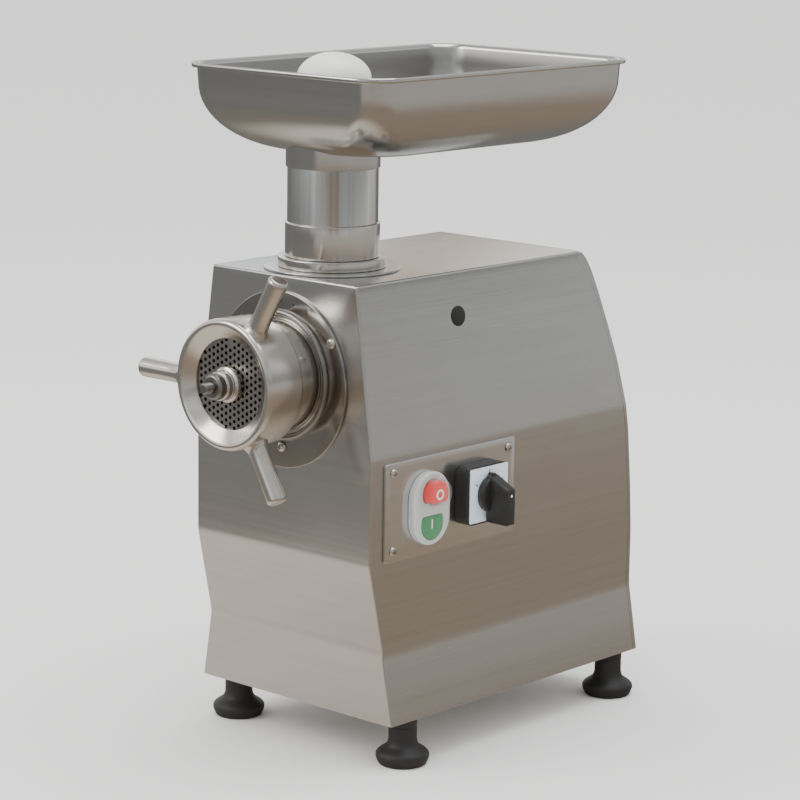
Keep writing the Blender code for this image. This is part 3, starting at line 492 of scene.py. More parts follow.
# How finely each kind of steel varies along x, y and z.
ROLLED = (600.0, 3.0, 600.0)
TURNED = (60.0, 900.0, 60.0)
EVEN = (300.0, 300.0, 300.0)

MATERIALS = {}


def finish(name):
    """The named finishes of the machine, each made when first used."""
    if name not in MATERIALS:
        steels, plastics = finish_rows()
        if name in steels:
            MATERIALS[name] = steel(*steels[name])
        elif name in plastics:
            MATERIALS[name] = moulded(*plastics[name])
        elif name == "clear":
            MATERIALS[name] = clear_plastic("Clear Boot", (0.52, 0.54, 0.54), 0.02)
        else:
            raise ValueError(f"no finish named {name}")
    return MATERIALS[name]


def finish_rows():
    """What steel() and moulded() need for each finish."""
    looks = bpy.context.scene.grinder_finish
    sheet = tuple(looks.sheet_steel)
    bright = tuple(looks.polished_steel)
    rough = looks.sheet_roughness
    steels = {
        "sheet_sides": ("Casing Steel", sheet, rough, (900.0, 4.0, 900.0)),
        "sheet_tray": ("Tray Steel", sheet, rough * 0.8, ROLLED, 0.05),
        # The tray's inward walls: the tray steel made darker, painted shade inside the tray.
        "tray_inside_painted_shade": ("Tray Inside Steel", shade(sheet, 0.74), rough * 1.5, ROLLED, 0.05),
        "panel_steel": ("Panel Steel", shade(sheet, 1.22), rough, (900.0, 5.0, 900.0), 0.12, 0.3),
        "tube_steel": ("Tube Steel", bright, 0.14, (500.0, 500.0, 2.5), 0.16),
        "ring_steel": ("Turned Steel", bright, 0.20, TURNED, 0.06),
        "cast_steel": ("Polished Casting", bright, 0.19, (70.0, 90.0, 70.0), 0.05),
        "plate_steel": ("Plate Steel", tuple(looks.plate_steel), 0.30, (220.0, 220.0, 220.0)),
        "flange_steel": ("Flange Steel", shade(bright, 0.60), 0.15, TURNED, 0.04),
        "bead_steel": ("Bead Steel", shade(bright, 0.42), 0.26, TURNED, 0.05),
        "screw_steel": ("Screw Steel", bright, 0.18, EVEN, 0.05),
        "machine_steel": ("Machined Steel", (0.48, 0.48, 0.49), 0.34, (200.0, 900.0, 200.0)),
        "cast_aluminium": ("Cast Aluminium", (0.55, 0.56, 0.57), 0.55, EVEN, 0.5),
        "copper": ("Varnished Copper", (0.50, 0.26, 0.13), 0.40, (900.0, 60.0, 900.0), 0.5),
    }
    black = tuple(looks.black_plastic)
    plastics = {
        "motor_paint": ("Motor Paint", (0.07, 0.08, 0.09), 0.42, 0.3, 0.3, 900.0),
        "black_plastic": ("Black Plastic", black, 0.40, 0.0, 0.2),
        "black_rubber": ("Black Rubber", (0.014, 0.013, 0.013), 0.55, 0.0, 0.35, 1200.0),
        "white_plastic": ("White Plastic", (0.86, 0.86, 0.84), 0.38, 0.2, 0.06),
        "bezel_plastic": ("Bezel Plastic", (0.50, 0.51, 0.50), 0.24, 0.8, 0.05),
        "grey_label": ("Scale Plate", (0.60, 0.68, 0.72), 0.34, 0.2, 0.05),
        "label_ink": ("Scale Ink", (0.16, 0.20, 0.23), 0.5, 0.0, 0.05),
        "stop_red": ("Stop Red", tuple(looks.stop_red), 0.36, 0.15, 0.05),
        "start_green": ("Start Green", tuple(looks.start_green), 0.36, 0.15, 0.05),
        "mark_white": ("Mark White", (0.82, 0.80, 0.78), 0.40, 0.0, 0.05),
    }
    return steels, plastics


# Settings


class GrinderFinish(bpy.types.PropertyGroup):
    """Colours and surface values of the machine."""

    sheet_steel: bpy.props.FloatVectorProperty(
        name="Sheet Steel", description="Colour of the casing's and the tray's steel",
        subtype="COLOR", size=3, min=0.0, max=1.0, default=(0.60, 0.595, 0.58),
    )
    polished_steel: bpy.props.FloatVectorProperty(
        name="Polished Steel", description="Colour of the head's and the tube's steel",
        subtype="COLOR", size=3, min=0.0, max=1.0, default=(0.66, 0.63, 0.59),
    )
    plate_steel: bpy.props.FloatVectorProperty(
        name="Plate Steel", description="Colour of the hole plate",
        subtype="COLOR", size=3, min=0.0, max=1.0, default=(0.36, 0.34, 0.33),
    )
    sheet_roughness: bpy.props.FloatProperty(
        name="Sheet Roughness", description="Roughness of the brushed sheet",
        subtype="FACTOR", min=0.05, max=1.0, default=0.20,
    )
    black_plastic: bpy.props.FloatVectorProperty(
        name="Black Plastic", description="Colour of the switch's body and knob",
        subtype="COLOR", size=3, min=0.0, max=1.0, default=(0.018, 0.018, 0.017),
    )
    stop_red: bpy.props.FloatVectorProperty(
        name="Stop Red", description="Colour of the stop button",
        subtype="COLOR", size=3, min=0.0, max=1.0, default=(0.70, 0.035, 0.025),
    )
    start_green: bpy.props.FloatVectorProperty(
        name="Start Green", description="Colour of the start button",
        subtype="COLOR", size=3, min=0.0, max=1.0, default=(0.008, 0.22, 0.05),
    )


class GrinderShape(bpy.types.PropertyGroup):
    """Sizes of the fine shapes."""

    bend_radius: bpy.props.FloatProperty(
        name="Bend Radius", description="Radius of the casing's shallow bends, in millimetres",
        min=0.5, max=20.0, default=4.0,
    )
    edge_radius: bpy.props.FloatProperty(
        name="Edge Radius", description="Radius of the casing's outer edges, in millimetres",
        min=0.5, max=6.0, default=2.0,
    )
    round_steps: bpy.props.IntProperty(
        name="Round Steps", description="Steps round the large turned pieces",
        min=24, max=256, default=112,
    )


class GrinderStudio(bpy.types.PropertyGroup):
    """Light and camera."""

    key_power: bpy.props.FloatProperty(
        name="Key Light", description="Power of the large soft light", subtype="POWER",
        unit="POWER", min=0.0, default=30.0,
    )
    top_power: bpy.props.FloatProperty(
        name="Top Light", description="Power of the overhead light", subtype="POWER",
        unit="POWER", min=0.0, default=36.0,
    )
    focal_length: bpy.props.FloatProperty(
        name="Focal Length", description="Focal length of the camera, in millimetres",
        min=20.0, max=300.0, default=130.75,
    )


# Casing

SIDE_PROFILE = ((CASING_BOTTOM, 112.5), (100.0, 102.3), (269.0, 102.3), (CASING_TOP, 83.5))
FRONT_PROFILE = ((CASING_BOTTOM, 17.5), (100.0, 16.5), (177.0, 0.0), (CASING_TOP, 0.0))
REAR_PROFILE = (
    (CASING_BOTTOM, 353.5), (151.0, 353.5), (195.0, 350.5), (248.0, 345.0), (269.0, 341.0),
    (311.0, 333.0), (340.0, 324.4), (372.0, 314.0), (391.0, 307.0), (404.0, 300.0),
    (409.8, 294.8), (CASING_TOP, 290.0),
)
SEAM_PROFILE = (
    *[(height, distance - 7.0) for height, distance in REAR_PROFILE[:8]],
    (391.0, 297.0), (404.0, 284.5), (CASING_TOP, 284.5),
)
SHEET = 1.5
SIDE_FACE = 102.3
SIDE_TOP = 83.5
UPPER_BEND = 269.0
PLUG_YZ = (120.8, 373.8)
GLAND_AT = (-60, 353.5, 66)


def casing_levels(profiles, edge):
    """(height, inset) of each level of the casing's sheet, up to its rounded top edge."""
    bend = CASING_TOP - edge
    heights = sorted({round(z, 3) for profile in profiles for z, _ in profile if z < bend})
    levels = [(z, 0.0) for z in heights]
    for i in range(7):
        turn = math.pi / 2 * i / 6
        levels.append((bend + edge * math.sin(turn), edge * (1 - math.cos(turn))))
    return levels


def sheet_shape(name, wrap, levels):
    """An open folded sheet with a closed top, thickened inwards."""
    shape = bmesh.new()
    rows = [[shape.verts.new(Vector(point)) for point in wrap(z, inset)] for z, inset in levels]
    for lower, upper in zip(rows, rows[1:]):
        for i in range(len(lower) - 1):
            shape.faces.new((lower[i], lower[i + 1], upper[i + 1], upper[i]))
    shape.faces.new(rows[-1])
    piece = link(name, to_mesh(shape, name))
    wall = piece.modifiers.new("Sheet", "SOLIDIFY")
    wall.thickness = SHEET * MM
    wall.offset = -1.0
    wall.use_even_offset = True
    return settle(piece)


def screw_spots():
    """(x, z) of the three flange screws."""
    spots = []
    for i in range(3):
        spot = (middle(f"flange_screw_{i + 1}") - ORIGIN) / MM
        spots.append((spot.x, spot.z))
    return spots


PANEL_SPOTS = [(y, z) for z in (189.3, 255.4) for y in (24.5, 170.5)]
BUTTONS_YZ = (65.4, 220.3)
BUTTON_SPREAD = 13.2
BEZEL_HALF = 8.7
SWITCH_YZ = (127.6, 224.7)


def control_openings(owner, low, high):
    """Cutters for the holes behind the buttons and the switch, and for the panel's screws."""
    y, z = BUTTONS_YZ
    slot = slab(f"{owner}_slot", lambda i: obround(7.0 - i, BUTTON_SPREAD), low, high, 0.0,
                SIDE, (0, y, z))
    y, z = SWITCH_YZ
    tools = [slot, peg(f"{owner}_cam_hole", 11.4, low, high, SIDE, (0, y, z))]
    for i, (y, z) in enumerate(PANEL_SPOTS):
        tools.append(peg(f"{owner}_hole_{i}", 2.3, low, high, SIDE, (0, y, z), 24))
    return tools


class GRINDER_OT_casing(bpy.types.Operator):
    """Builds the folded casing with its rounded bends and holes"""

    bl_idname = "grinder.casing"
    bl_label = "Casing"

    def execute(self, context):
        shape = context.scene.grinder_shape
        edge = shape.edge_radius
        side = soften(SIDE_PROFILE, shape.bend_radius, 4, closed=False)
        front = soften(FRONT_PROFILE, shape.bend_radius, 4, closed=False)

        def wrap(height, inset):
            half = at_height(side, height) - inset
            ahead = at_height(front, height) + inset
            seam = at_height(SEAM_PROFILE, height)
            left = arc((edge - half, ahead + edge), edge, 180, 270, 8)
            right = arc((half - edge, ahead + edge), edge, 270, 360, 8)
            outline = [(-half, seam), *left, *right, (half, seam)]
            return [(x, y, height) for x, y in outline]

        casing = sheet_shape("casing", wrap, casing_levels((side, front, REAR_PROFILE), edge))
        head = peg("head_hole", 52.8, -8, 8, FRONT, (0, 0, HEAD_Z), 96)
        feed = peg("feed_hole", 39.0, -8, 8, UP, (0, TUBE_Y, CASING_TOP), 96)
        holes = [
            peg(f"flange_hole_{i}", 2.9, -12, 12, FRONT, (x, 0, z), 24)
            for i, (x, z) in enumerate(screw_spots())
        ]
        at, axes = plug_place()
        plug = peg("plug_hole", 7.4, -6, 6, axes, at, 32)
        cut(casing, head, feed, plug, *holes, *control_openings("casing", 92.0, 112.0))
        fit(casing, "sheet_sides", "machine", ("casing_shell",))
        return {"FINISHED"}


class GRINDER_OT_back_cover(bpy.types.Operator):
    """Builds the curved back cover with its air slots"""

    bl_idname = "grinder.back_cover"
    bl_label = "Back Cover"

    def execute(self, context):
        shape = context.scene.grinder_shape
        edge = shape.edge_radius
        side = soften(SIDE_PROFILE, shape.bend_radius, 4, closed=False)
        rear_profile = soften(REAR_PROFILE, 6.0, 3, closed=False)

        def wrap(height, inset):
            half = at_height(side, height) - inset
            rear = at_height(rear_profile, height)
            seam = at_height(SEAM_PROFILE, height) + 0.3
            radius = 2 * edge
            right = arc((half - radius, rear - radius), radius, 0, 90, 8)
            left = arc((radius - half, rear - radius), radius, 90, 180, 8)
            outline = [(half, seam), *right, *left, (-half, seam)]
            return [(x, y, height) for x, y in outline]

        cover = sheet_shape("back_cover", wrap, casing_levels((side, rear_profile), edge))

        def slot(inset):
            return rounded_rectangle((inset - 25, inset - 2.25), (55 - inset, 2.25 - inset),
                                     2.2 - inset)

        tools = [
            slab(f"air_slot_{row}", slot, -12, 12, 0.0, BACK, (0, 352, 78 + 11 * row))
            for row in range(6)
        ]
        tools.append(peg("gland_hole", 8.4, -6, 6, BACK, GLAND_AT, 32))
        cut(cover, *tools)
        fit(cover, "sheet_sides", "machine", ("rear_cover",))
        coat(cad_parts["base_plate"], "sheet_sides")
        return {"FINISHED"}


class GRINDER_OT_feet(bpy.types.Operator):
    """Builds the four moulded feet"""

    bl_idname = "grinder.feet"
    bl_label = "Feet"

    def execute(self, context):
        top = CASING_BOTTOM + 1.2
        profile = soften([
            (0, top), (12.2, top, 0.5), (12.2, 34.0, 0.0), (11.6, 33.2, 0.3), (12.1, 32.4, 0.3),
            (12.1, 20.5, 2.5), (14.0, 16.0, 2.5), (20.0, 12.3, 2.0), (22.9, 9.5, 1.6),
            (22.9, 6.0, 2.0), (20.6, 0.8, 0.8), (19.6, 0.0, 0.4), (15.0, 0.0, 0.3), (14.0, 1.0, 0.3),
            (0, 1.0),
        ], closed=False)
        for name in ("front_left", "front_right", "rear_left", "rear_right"):
            node = f"foot_{name}"
            spot = (middle(node) - ORIGIN) / MM
            foot = lathe(f"foot_moulding_{name}", profile, UP, (spot.x, spot.y, 0), 64)
            fit(foot, "black_rubber", "machine", (node,))
        return {"FINISHED"}


def plug_place():
    """Where the hole plug sits on the slanted upper side, and its axes."""
    y, z = PLUG_YZ
    lean = math.atan2(SIDE_FACE - SIDE_TOP, CASING_TOP - UPPER_BEND)
    return (at_height(SIDE_PROFILE, z), y, z), Matrix.Rotation(math.pi / 2 - lean, 4, "Y")


class GRINDER_OT_fittings(bpy.types.Operator):
    """Builds the hole plug and the cable gland"""

    bl_idname = "grinder.fittings"
    bl_label = "Plug and Gland"

    def execute(self, context):
        at, axes = plug_place()
        profile = soften([
            (0, 2.4), (4.6, 2.2, 1.5), (8.0, 1.2, 1.0), (8.75, 0.3, 0.2), (7.0, 0.3, 0.1),
            (7.0, -5.0, 0.4), (0, -5.0),
        ], closed=False)
        plug = lathe("side_plug", profile, axes, at, 64)
        fit(plug, "black_rubber", "machine", ("hole_plug",))

        profile = soften([
            (4.2, 18.5, 0.8), (7.2, 18.5, 1.2), (8.8, 15.6, 1.2), (8.9, 7.0, 0.2), (11.4, 7.0, 0.6),
            (11.4, 0.3, 0.3), (8.0, 0.3, 0.1), (8.0, -8.0, 0.4), (4.2, -8.0, 0.4),
        ])
        gland = lathe("gland", profile, BACK, GLAND_AT, 64)
        flats = []
        for i in range(6):
            flat = block(f"flat_{i}", (10.1, 0.2, -9.0), (13.0, 7.2, 9.0), 0)
            turn = Matrix.Rotation(math.radians(60 * i), 4, "Y")
            flat.data.transform(Matrix.Translation(Vector(GLAND_AT) * MM) @ turn)
            flats.append(flat)
        cut(gland, *flats)
        fit(gland, "black_plastic", "machine", ("cable_gland",))
        return {"FINISHED"}


# Feed

COLLAR_TOP = 422.0
TUBE_RADIUS = 38.5
TUBE_TOP = 511.0


class GRINDER_OT_feed(bpy.types.Operator):
    """Builds the throat rings and the feed tube"""

    bl_idname = "grinder.feed"
    bl_label = "Throat and Tube"

    def execute(self, context):
        steps = context.scene.grinder_shape.round_steps
        at = (0, TUBE_Y, 0)
        low = CASING_TOP + 0.3
        disc = soften([
            (38.7, 413.5, 0.2), (58.1, 413.5, 0.7), (58.1, low, 0.2), (38.7, low, 0.2),
        ])
        fit(lathe("throat_ring", disc, UP, at, steps), "sheet_sides", "machine",
            ("throat_disc",))
        low = 413.8
        collar = soften([
            (38.7, COLLAR_TOP, 0.2), (46.2, COLLAR_TOP, 0.9), (46.2, 417.0, 0.0),
            (46.2, low, 0.2), (38.7, low, 0.2),
        ])
        fit(lathe("throat_flange", collar, UP, at, steps), "tube_steel", "machine",
            ("throat_collar",))

        profile = soften([
            (36.0, TUBE_TOP, 0.3), (TUBE_RADIUS, TUBE_TOP, 0.4), (TUBE_RADIUS, 451.2, 0.15),
            (40.15, 450.7, 0.5), (40.15, COLLAR_TOP + 0.3, 0.3), (38.0, COLLAR_TOP + 0.3, 0.1),
            (38.0, 340.0, 0.0), (36.0, 340.0, 0.0),
        ])
        tube = lathe("tube", profile, UP, at, steps)
        cut(tube, peg("saddle", 47.4, -160, 20, FRONT, (0, 0, HEAD_Z), 96))
        fit(tube, "tube_steel", "feed_tube", ("feed_tube",))
        return {"FINISHED"}


TRAY_HALF = 113.8
TRAY_FRONT = -13.3
TRAY_REAR = 328.2
TRAY_RIM = 581.2
TRAY_FOOT = 564.0
TRAY_FLOOR = 509.5
TRAY_SHEET = 1.3
TRAY_LIP = 5.6


def tray_loop(inset, height):
    """The tray's rounded outline, inset from its rim. Its corners grow rounder towards the floor."""
    wall = min(inset, TRAY_LIP)
    radius = 30.6 - wall + 0.55 * (inset - wall)
    low = (inset - TRAY_HALF, TRAY_FRONT + inset)
    high = (TRAY_HALF - inset, TRAY_REAR - inset)
    return [(x, y, height) for x, y in rounded_rectangle(low, high, radius, 12)]


def tray_sweep(wall, floor, steps=16):
    """The wide curve from the tray's wall down to its floor, as loops."""
    reach = 50.0 + TRAY_LIP - wall
    loops = []
    for i in range(steps + 1):
        turn = math.pi / 2 * i / steps
        inset = wall + reach * (1 - math.cos(turn))
        loops.append(tray_loop(inset, TRAY_FOOT - (TRAY_FOOT - floor) * math.sin(turn)))
    return loops


class GRINDER_OT_tray(bpy.types.Operator):
    """Builds the feed tray with its folded lip and its collar"""

    bl_idname = "grinder.tray"
    bl_label = "Tray"

    def execute(self, context):
        steps = context.scene.grinder_shape.round_steps
        rim = TRAY_RIM
        lip = [
            (4.6, rim - 3.6), (1.6, rim - 4.0), (0.6, rim - 3.9), (0.1, rim - 3.3), (0.0, rim - 2.4),
            (0.0, rim - 1.5), (0.25, rim - 0.6), (1.0, rim), (2.6, rim - 0.05), (4.4, rim - 0.3),
            (5.4, rim - 0.9), (6.2, rim - 2.2), (6.9, rim - 4.0),
        ]
        outside = tray_sweep(TRAY_LIP, TRAY_FLOOR)
        inside = tray_sweep(TRAY_LIP + TRAY_SHEET, TRAY_FLOOR + TRAY_SHEET)
        loops = list(reversed(outside)) + [tray_loop(i, z) for i, z in lip] + inside
        pan = skin("pan", loops)
        at = (0, TUBE_Y, 0)
        collar = soften([(0, 530.0), (39.9, 530.0, 0.0), (39.9, 497.5, 0.5), (0, 497.5)],
                        closed=False)
        join(pan, lathe("pan_collar", collar, UP, at, steps))
        hollow = [tray_loop(7.2, TRAY_FOOT + 12)]
        hollow += tray_sweep(TRAY_LIP + TRAY_SHEET + 0.02, TRAY_FLOOR + TRAY_SHEET + 0.02)
        bore = peg("pan_bore", TUBE_RADIUS + 0.3, 490, 550, UP, at, steps)
        cut(pan, skin("pan_hollow", hollow), bore)
        fit(pan, "sheet_tray", "tray", ("tray",))
        # The inward faces between the floor and the lip take the darker copy of the tray steel:
        # painted shade inside the tray.
        pan.data.materials.append(finish("tray_inside_painted_shade"))
        above = Vector((0, (TRAY_FRONT + TRAY_REAR) / 2, rim + 100)) * MM
        for face in pan.data.polygons:
            inward = face.normal.dot(above - face.center) > 0
            if inward and TRAY_FLOOR + 0.7 < face.center.z / MM < rim - 4:
                face.material_index = 1
        return {"FINISHED"}


class GRINDER_OT_pusher(bpy.types.Operator):
    """Builds the turned pusher"""

    bl_idname = "grinder.pusher"
    bl_label = "Pusher"

    def execute(self, context):
        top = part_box("pusher")[1].z / MM
        dome = []
        for i in range(13):
            turn = math.pi / 2 * i / 12
            dome.append((31.5 * math.sin(turn), top - 22.0 + 22.0 * math.cos(turn)))
        profile = dome[:-1] + soften([
            dome[-1], (31.4, top - 24.5, 1.0), (29.4, 563.0, 4.0), (17.5, 552.0, 5.0),
            (17.0, 528.0, 5.0), (21.0, 519.6, 3.0), (38.2, 517.0, 0.8), (38.2, TUBE_TOP + 0.3, 0.5),
            (35.0, TUBE_TOP + 0.3, 0.1), (35.0, 378.0, 1.5), (0, 378.0),
        ], closed=False)
        pusher = lathe("pusher_turning", profile, UP, (0, TUBE_Y, 0), 80)
        fit(pusher, "white_plastic", "pusher", ("pusher",))
        return {"FINISHED"}


# Head

FLANGE_FACE = -2.8
FLANGE_Z = HEAD_Z - 4.0


def cross_screw(name, radius, height, stem, axes, at):
    """A domed screw with a cross recess, its head's underside just above its seat."""
    profile = soften([
        (0, height), (radius * 0.55, height * 0.95, 0.4), (radius * 0.88, height * 0.62, 0.5),
        (radius, 0.5, 0.2), (radius, 0.3, 0.05), (stem, 0.3, 0.05), (stem, -7.5, 0.3), (0, -7.5),
    ], closed=False)
    screw = lathe(name, profile, axes, at, 40)
    low = height - 1.5
    arm = radius * 0.56
    half = radius * 0.13
    tools = []
    for i, (x, y) in enumerate(((arm, half), (half, arm))):
        def outline(inset, x=x, y=y):
            return rounded_rectangle((inset - x, inset - y), (x - inset, y - inset), 0.1, 2)
        tools.append(slab(f"{name}_cross_{i}", outline, low, height + 1, 0.0, axes, at, 1))
    return cut(screw, *tools)


class GRINDER_OT_flange(bpy.types.Operator):
    """Builds the polished front flange, its bead and its screws"""

    bl_idname = "grinder.flange"
    bl_label = "Front Flange"

    def execute(self, context):
        steps = context.scene.grinder_shape.round_steps
        disc = soften([
            (0, FLANGE_FACE), (74.95, FLANGE_FACE, 0.7), (74.95, -0.3, 0.2), (0, -0.3),
        ], closed=False)
        flange = head_lathe("flange_disc", disc, steps, FLANGE_Z)
        tools = [peg("hollow", 50.0, -10, 10, FRONT, (0, 0, HEAD_Z), steps)]
        for i, (x, z) in enumerate(screw_spots()):
            tools.append(peg(f"hole_{i}", 2.9, -12, 12, FRONT, (x, 0, z), 24))
        tools.append(slab(
            "slot",
            lambda i: rounded_rectangle((13.7 + i, 386.9 + i), (31.8 - i, 388.9 - i), 0.9 - i),
            1.4, 4.0, 0.0, FRONT,
        ))
        cut(flange, *tools)
        fit(flange, "flange_steel", "machine", ("front_flange",))

        bore = 47.3
        collar = soften([
            (bore, -3.0, 0.2), (50.0, -3.0, 0.1), (50.0, -0.9, 0.1), (52.0, -0.9, 0.1),
            (52.0, 125.7, 0.3), (bore, 125.7, 0.3),
        ])
        collar = head_lathe("flange_sleeve", collar, steps)
        cut(collar, peg("port", 38.8, HEAD_Z + 20, HEAD_Z + 70, UP, (0, TUBE_Y, 0), 80))
        fit(collar, "ring_steel", "machine", ())

        turns = [2 * math.pi * i / 28 for i in range(28)]
        bead = [(52.75 + 3.1 * math.cos(t), -3.75 - 3.1 * math.sin(t)) for t in turns]
        bead = [(r, min(y, -2.83)) for r, y in bead]
        fit(head_lathe("flange_bead", bead, steps), "bead_steel", "machine", ())

        for i, (x, z) in enumerate(screw_spots()):
            screw = cross_screw(f"flange_fixing_{i + 1}", 4.5, 3.2, 2.5, FRONT, (x, FLANGE_FACE, z))
            fit(screw, "screw_steel", "machine", (f"flange_screw_{i + 1}",))
        return {"FINISHED"}


class GRINDER_OT_barrel(bpy.types.Operator):
    """Builds the grinding barrel with its feed port"""

    bl_idname = "grinder.barrel"
    bl_label = "Barrel"

    def execute(self, context):
        steps = context.scene.grinder_shape.round_steps
        thread = []
        for i in range(8):
            y = -55.0 + 4 * i
            thread += [(46.0, y, 0.3), (45.2, y + 1.6, 0.3),
                       (45.2, y + 2.2, 0.3), (46.0, y + 3.6, 0.3)]
        profile = soften([
            (41.35, -58.0, 0.3), (45.2, -58.0, 0.4), (45.9, -57.0, 0.3), *thread[:-4],
            (46.0, -25.9, 0.2), (46.9, -25.0, 0.3), (46.9, 121.5, 0.8), (16.4, 121.5, 0.3),
            (16.4, 113.5, 0.3), (38.6, 113.5, 1.0), (38.6, -51.7, 0.2), (41.35, -51.7, 0.2),
        ])
        barrel = head_lathe("barrel_casting", profile, steps)
        port = peg("barrel_port", 36.0, HEAD_Z + 10, HEAD_Z + 60, UP, (0, TUBE_Y, 0), 80)
        hole = peg("pin_socket", 2.2, HEAD_Z + 38, HEAD_Z + 50, UP, (0, -54.8, 0), 24)
        cut(barrel, port, hole)
        fit(barrel, "ring_steel", "barrel", ("barrel",))

        pin = soften([(0, 45.7), (1.8, 45.7, 0.3), (1.8, 38.6, 0.5), (0, 38.6)], closed=False)
        pin = lathe("plate_pin", pin, UP, (0, -54.8, HEAD_Z), 32)
        fit(pin, "machine_steel", "barrel", ("locating_pin",))
        return {"FINISHED"}


PLATE_FACE = -61.0
PLATE_REAR = -52.0
HOLE_PITCH = 5.6
HOLE_RADIUS = 1.62
HOLE_FIELD = (13.8, 36.8)


def plate_holes():
    """Centres of the plate's holes, on a lattice of triangles with one side upright."""
    centres = []
    for column in range(-8, 9):
        for row in range(-7, 8):
            x = column * HOLE_PITCH * math.sqrt(3) / 2
            y = (row + (column % 2) / 2) * HOLE_PITCH
            by_key = abs(x) < 3.0 and y > 33.0
            if HOLE_FIELD[0] <= math.hypot(x, y) <= HOLE_FIELD[1] and not by_key:
                centres.append((x, y))
    return centres


def drilled_plate(name, rim, holes, low, high):
    """A flat plate between two heights, from its rim's outline and its holes' outlines."""
    curve = bpy.data.curves.new(name, "CURVE")
    curve.dimensions = "2D"
    curve.fill_mode = "BOTH"
    curve.extrude = (high - low) / 2 * MM
    for outline in [rim, *holes]:
        spline = curve.splines.new("POLY")
        spline.points.add(len(outline) - 1)
        for point, (x, y) in zip(spline.points, outline):
            point.co = (x * MM, y * MM, 0.0, 1.0)
        spline.use_cyclic_u = True
    guide = bpy.data.objects.new(name, curve)
    bpy.context.scene.collection.objects.link(guide)
    bpy.context.view_layer.update()
    graph = bpy.context.evaluated_depsgraph_get()
    mesh = bpy.data.meshes.new_from_object(guide.evaluated_get(graph))
    bpy.data.objects.remove(guide)
    shape = bmesh.new()
    shape.from_mesh(mesh)
    bmesh.ops.scale(shape, vec=(1 / MM,) * 3, verts=shape.verts)
    bmesh.ops.translate(shape, vec=(0, 0, (low + high) / 2), verts=shape.verts)
    bmesh.ops.transform(
        shape, matrix=Matrix.Translation((0, 0, HEAD_Z)) @ FRONT, verts=shape.verts,
    )
    return link(name, finish_mesh(shape, name))


class GRINDER_OT_plate(bpy.types.Operator):
    """Builds the hole plate and the pieces on the stud, and gives the knife behind it its finish"""

    bl_idname = "grinder.plate"
    bl_label = "Plate and Knife"

    def execute(self, context):
        key = math.degrees(math.asin(2.6 / 41.0))
        rim = arc((0, 0), 40.95, 90 + key, 450 - key, 120) + [(2.6, 38.0), (-2.6, 38.0)]
        holes = [arc((0, 0), 9.95, 0, 352.5, 47)]
        holes += [arc(centre, HOLE_RADIUS, 0, 330, 11) for centre in plate_holes()]
        plate = drilled_plate("hole_plate", rim, holes, -PLATE_REAR, -PLATE_FACE)
        fit(plate, "plate_steel", "cutting_set", ("cutting_plate",))

        coat(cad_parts["knife"], "machine_steel")

        collar = soften([
            (5.1, -75.7, 0.3), (11.6, -75.7, 0.8), (12.5, -74.0, 0.5), (12.5, -69.6, 0.2),
            (11.9, -69.2, 0.2), (12.5, -68.8, 0.2), (12.5, -67.4, 0.4), (15.0, -66.4, 0.6),
            (15.0, -63.6, 0.5), (13.0, -62.2, 0.4), (13.0, -61.3, 0.1), (10.2, -61.3, 0.1),
            (10.2, -62.0, 0.1), (5.1, -62.0, 0.1),
        ])
        fit(head_lathe("stud_boss", collar, 64), "screw_steel", "worm", ("stud_collar",))
        nut = soften([
            (5.1, -83.0, 0.3), (9.2, -83.0, 0.9), (10.9, -81.0, 0.6), (10.9, -76.0, 0.3),
            (5.1, -76.0, 0.2),
        ])
        fit(head_lathe("stud_cap_nut", nut, 64), "bead_steel", "worm", ("stud_nut",))
        return {"FINISHED"}


class GRINDER_OT_ring_nut(bpy.types.Operator):
    """Builds the ring nut with its three arms"""

    bl_idname = "grinder.ring_nut"
    bl_label = "Ring Nut"

    def execute(self, context):
        steps = context.scene.grinder_shape.round_steps
        profile = soften([
            (38.0, -63.0, 0.5), (48.4, -70.0, 1.0), (51.0, -71.0, 1.6), (53.8, -70.0, 1.6),
            (54.9, -67.2, 1.6), (54.85, -55.0, 6.0), (54.2, -31.4, 1.2), (52.8, -29.5, 0.8),
            (46.4, -29.5, 0.3), (46.4, -58.4, 0.2), (41.4, -58.4, 0.2), (41.4, -61.3, 0.2),
            (38.0, -61.3, 0.2),
        ])
        nut = head_lathe("ring_nut_casting", profile, steps)
        arm = soften([
            (0, 106.5), (6.6, 106.5, 1.2), (8.6, 104.2, 1.6), (8.5, 98.0, 2.0), (8.2, 68.0, 8.0),
            (8.7, 58.5, 2.0), (10.6, 54.6, 1.5), (11.4, 50.7, 0.5), (0, 50.7),
        ], steps=5, closed=False)
        arms = []
        for i, angle in enumerate((60, 180, 300)):
            axes = Matrix.Rotation(math.radians(90 - angle), 4, "Y")
            arms.append(lathe(f"nut_arm_{i}", arm, axes, (0, -58.3, HEAD_Z), 48))
        join(nut, *arms)
        cut(nut, peg("nut_bore", 46.4, 29.5, 58.4, FRONT, (0, 0, HEAD_Z), steps))
        fit(nut, "cast_steel", "ring_nut", ("ring_nut",))
        return {"FINISHED"}


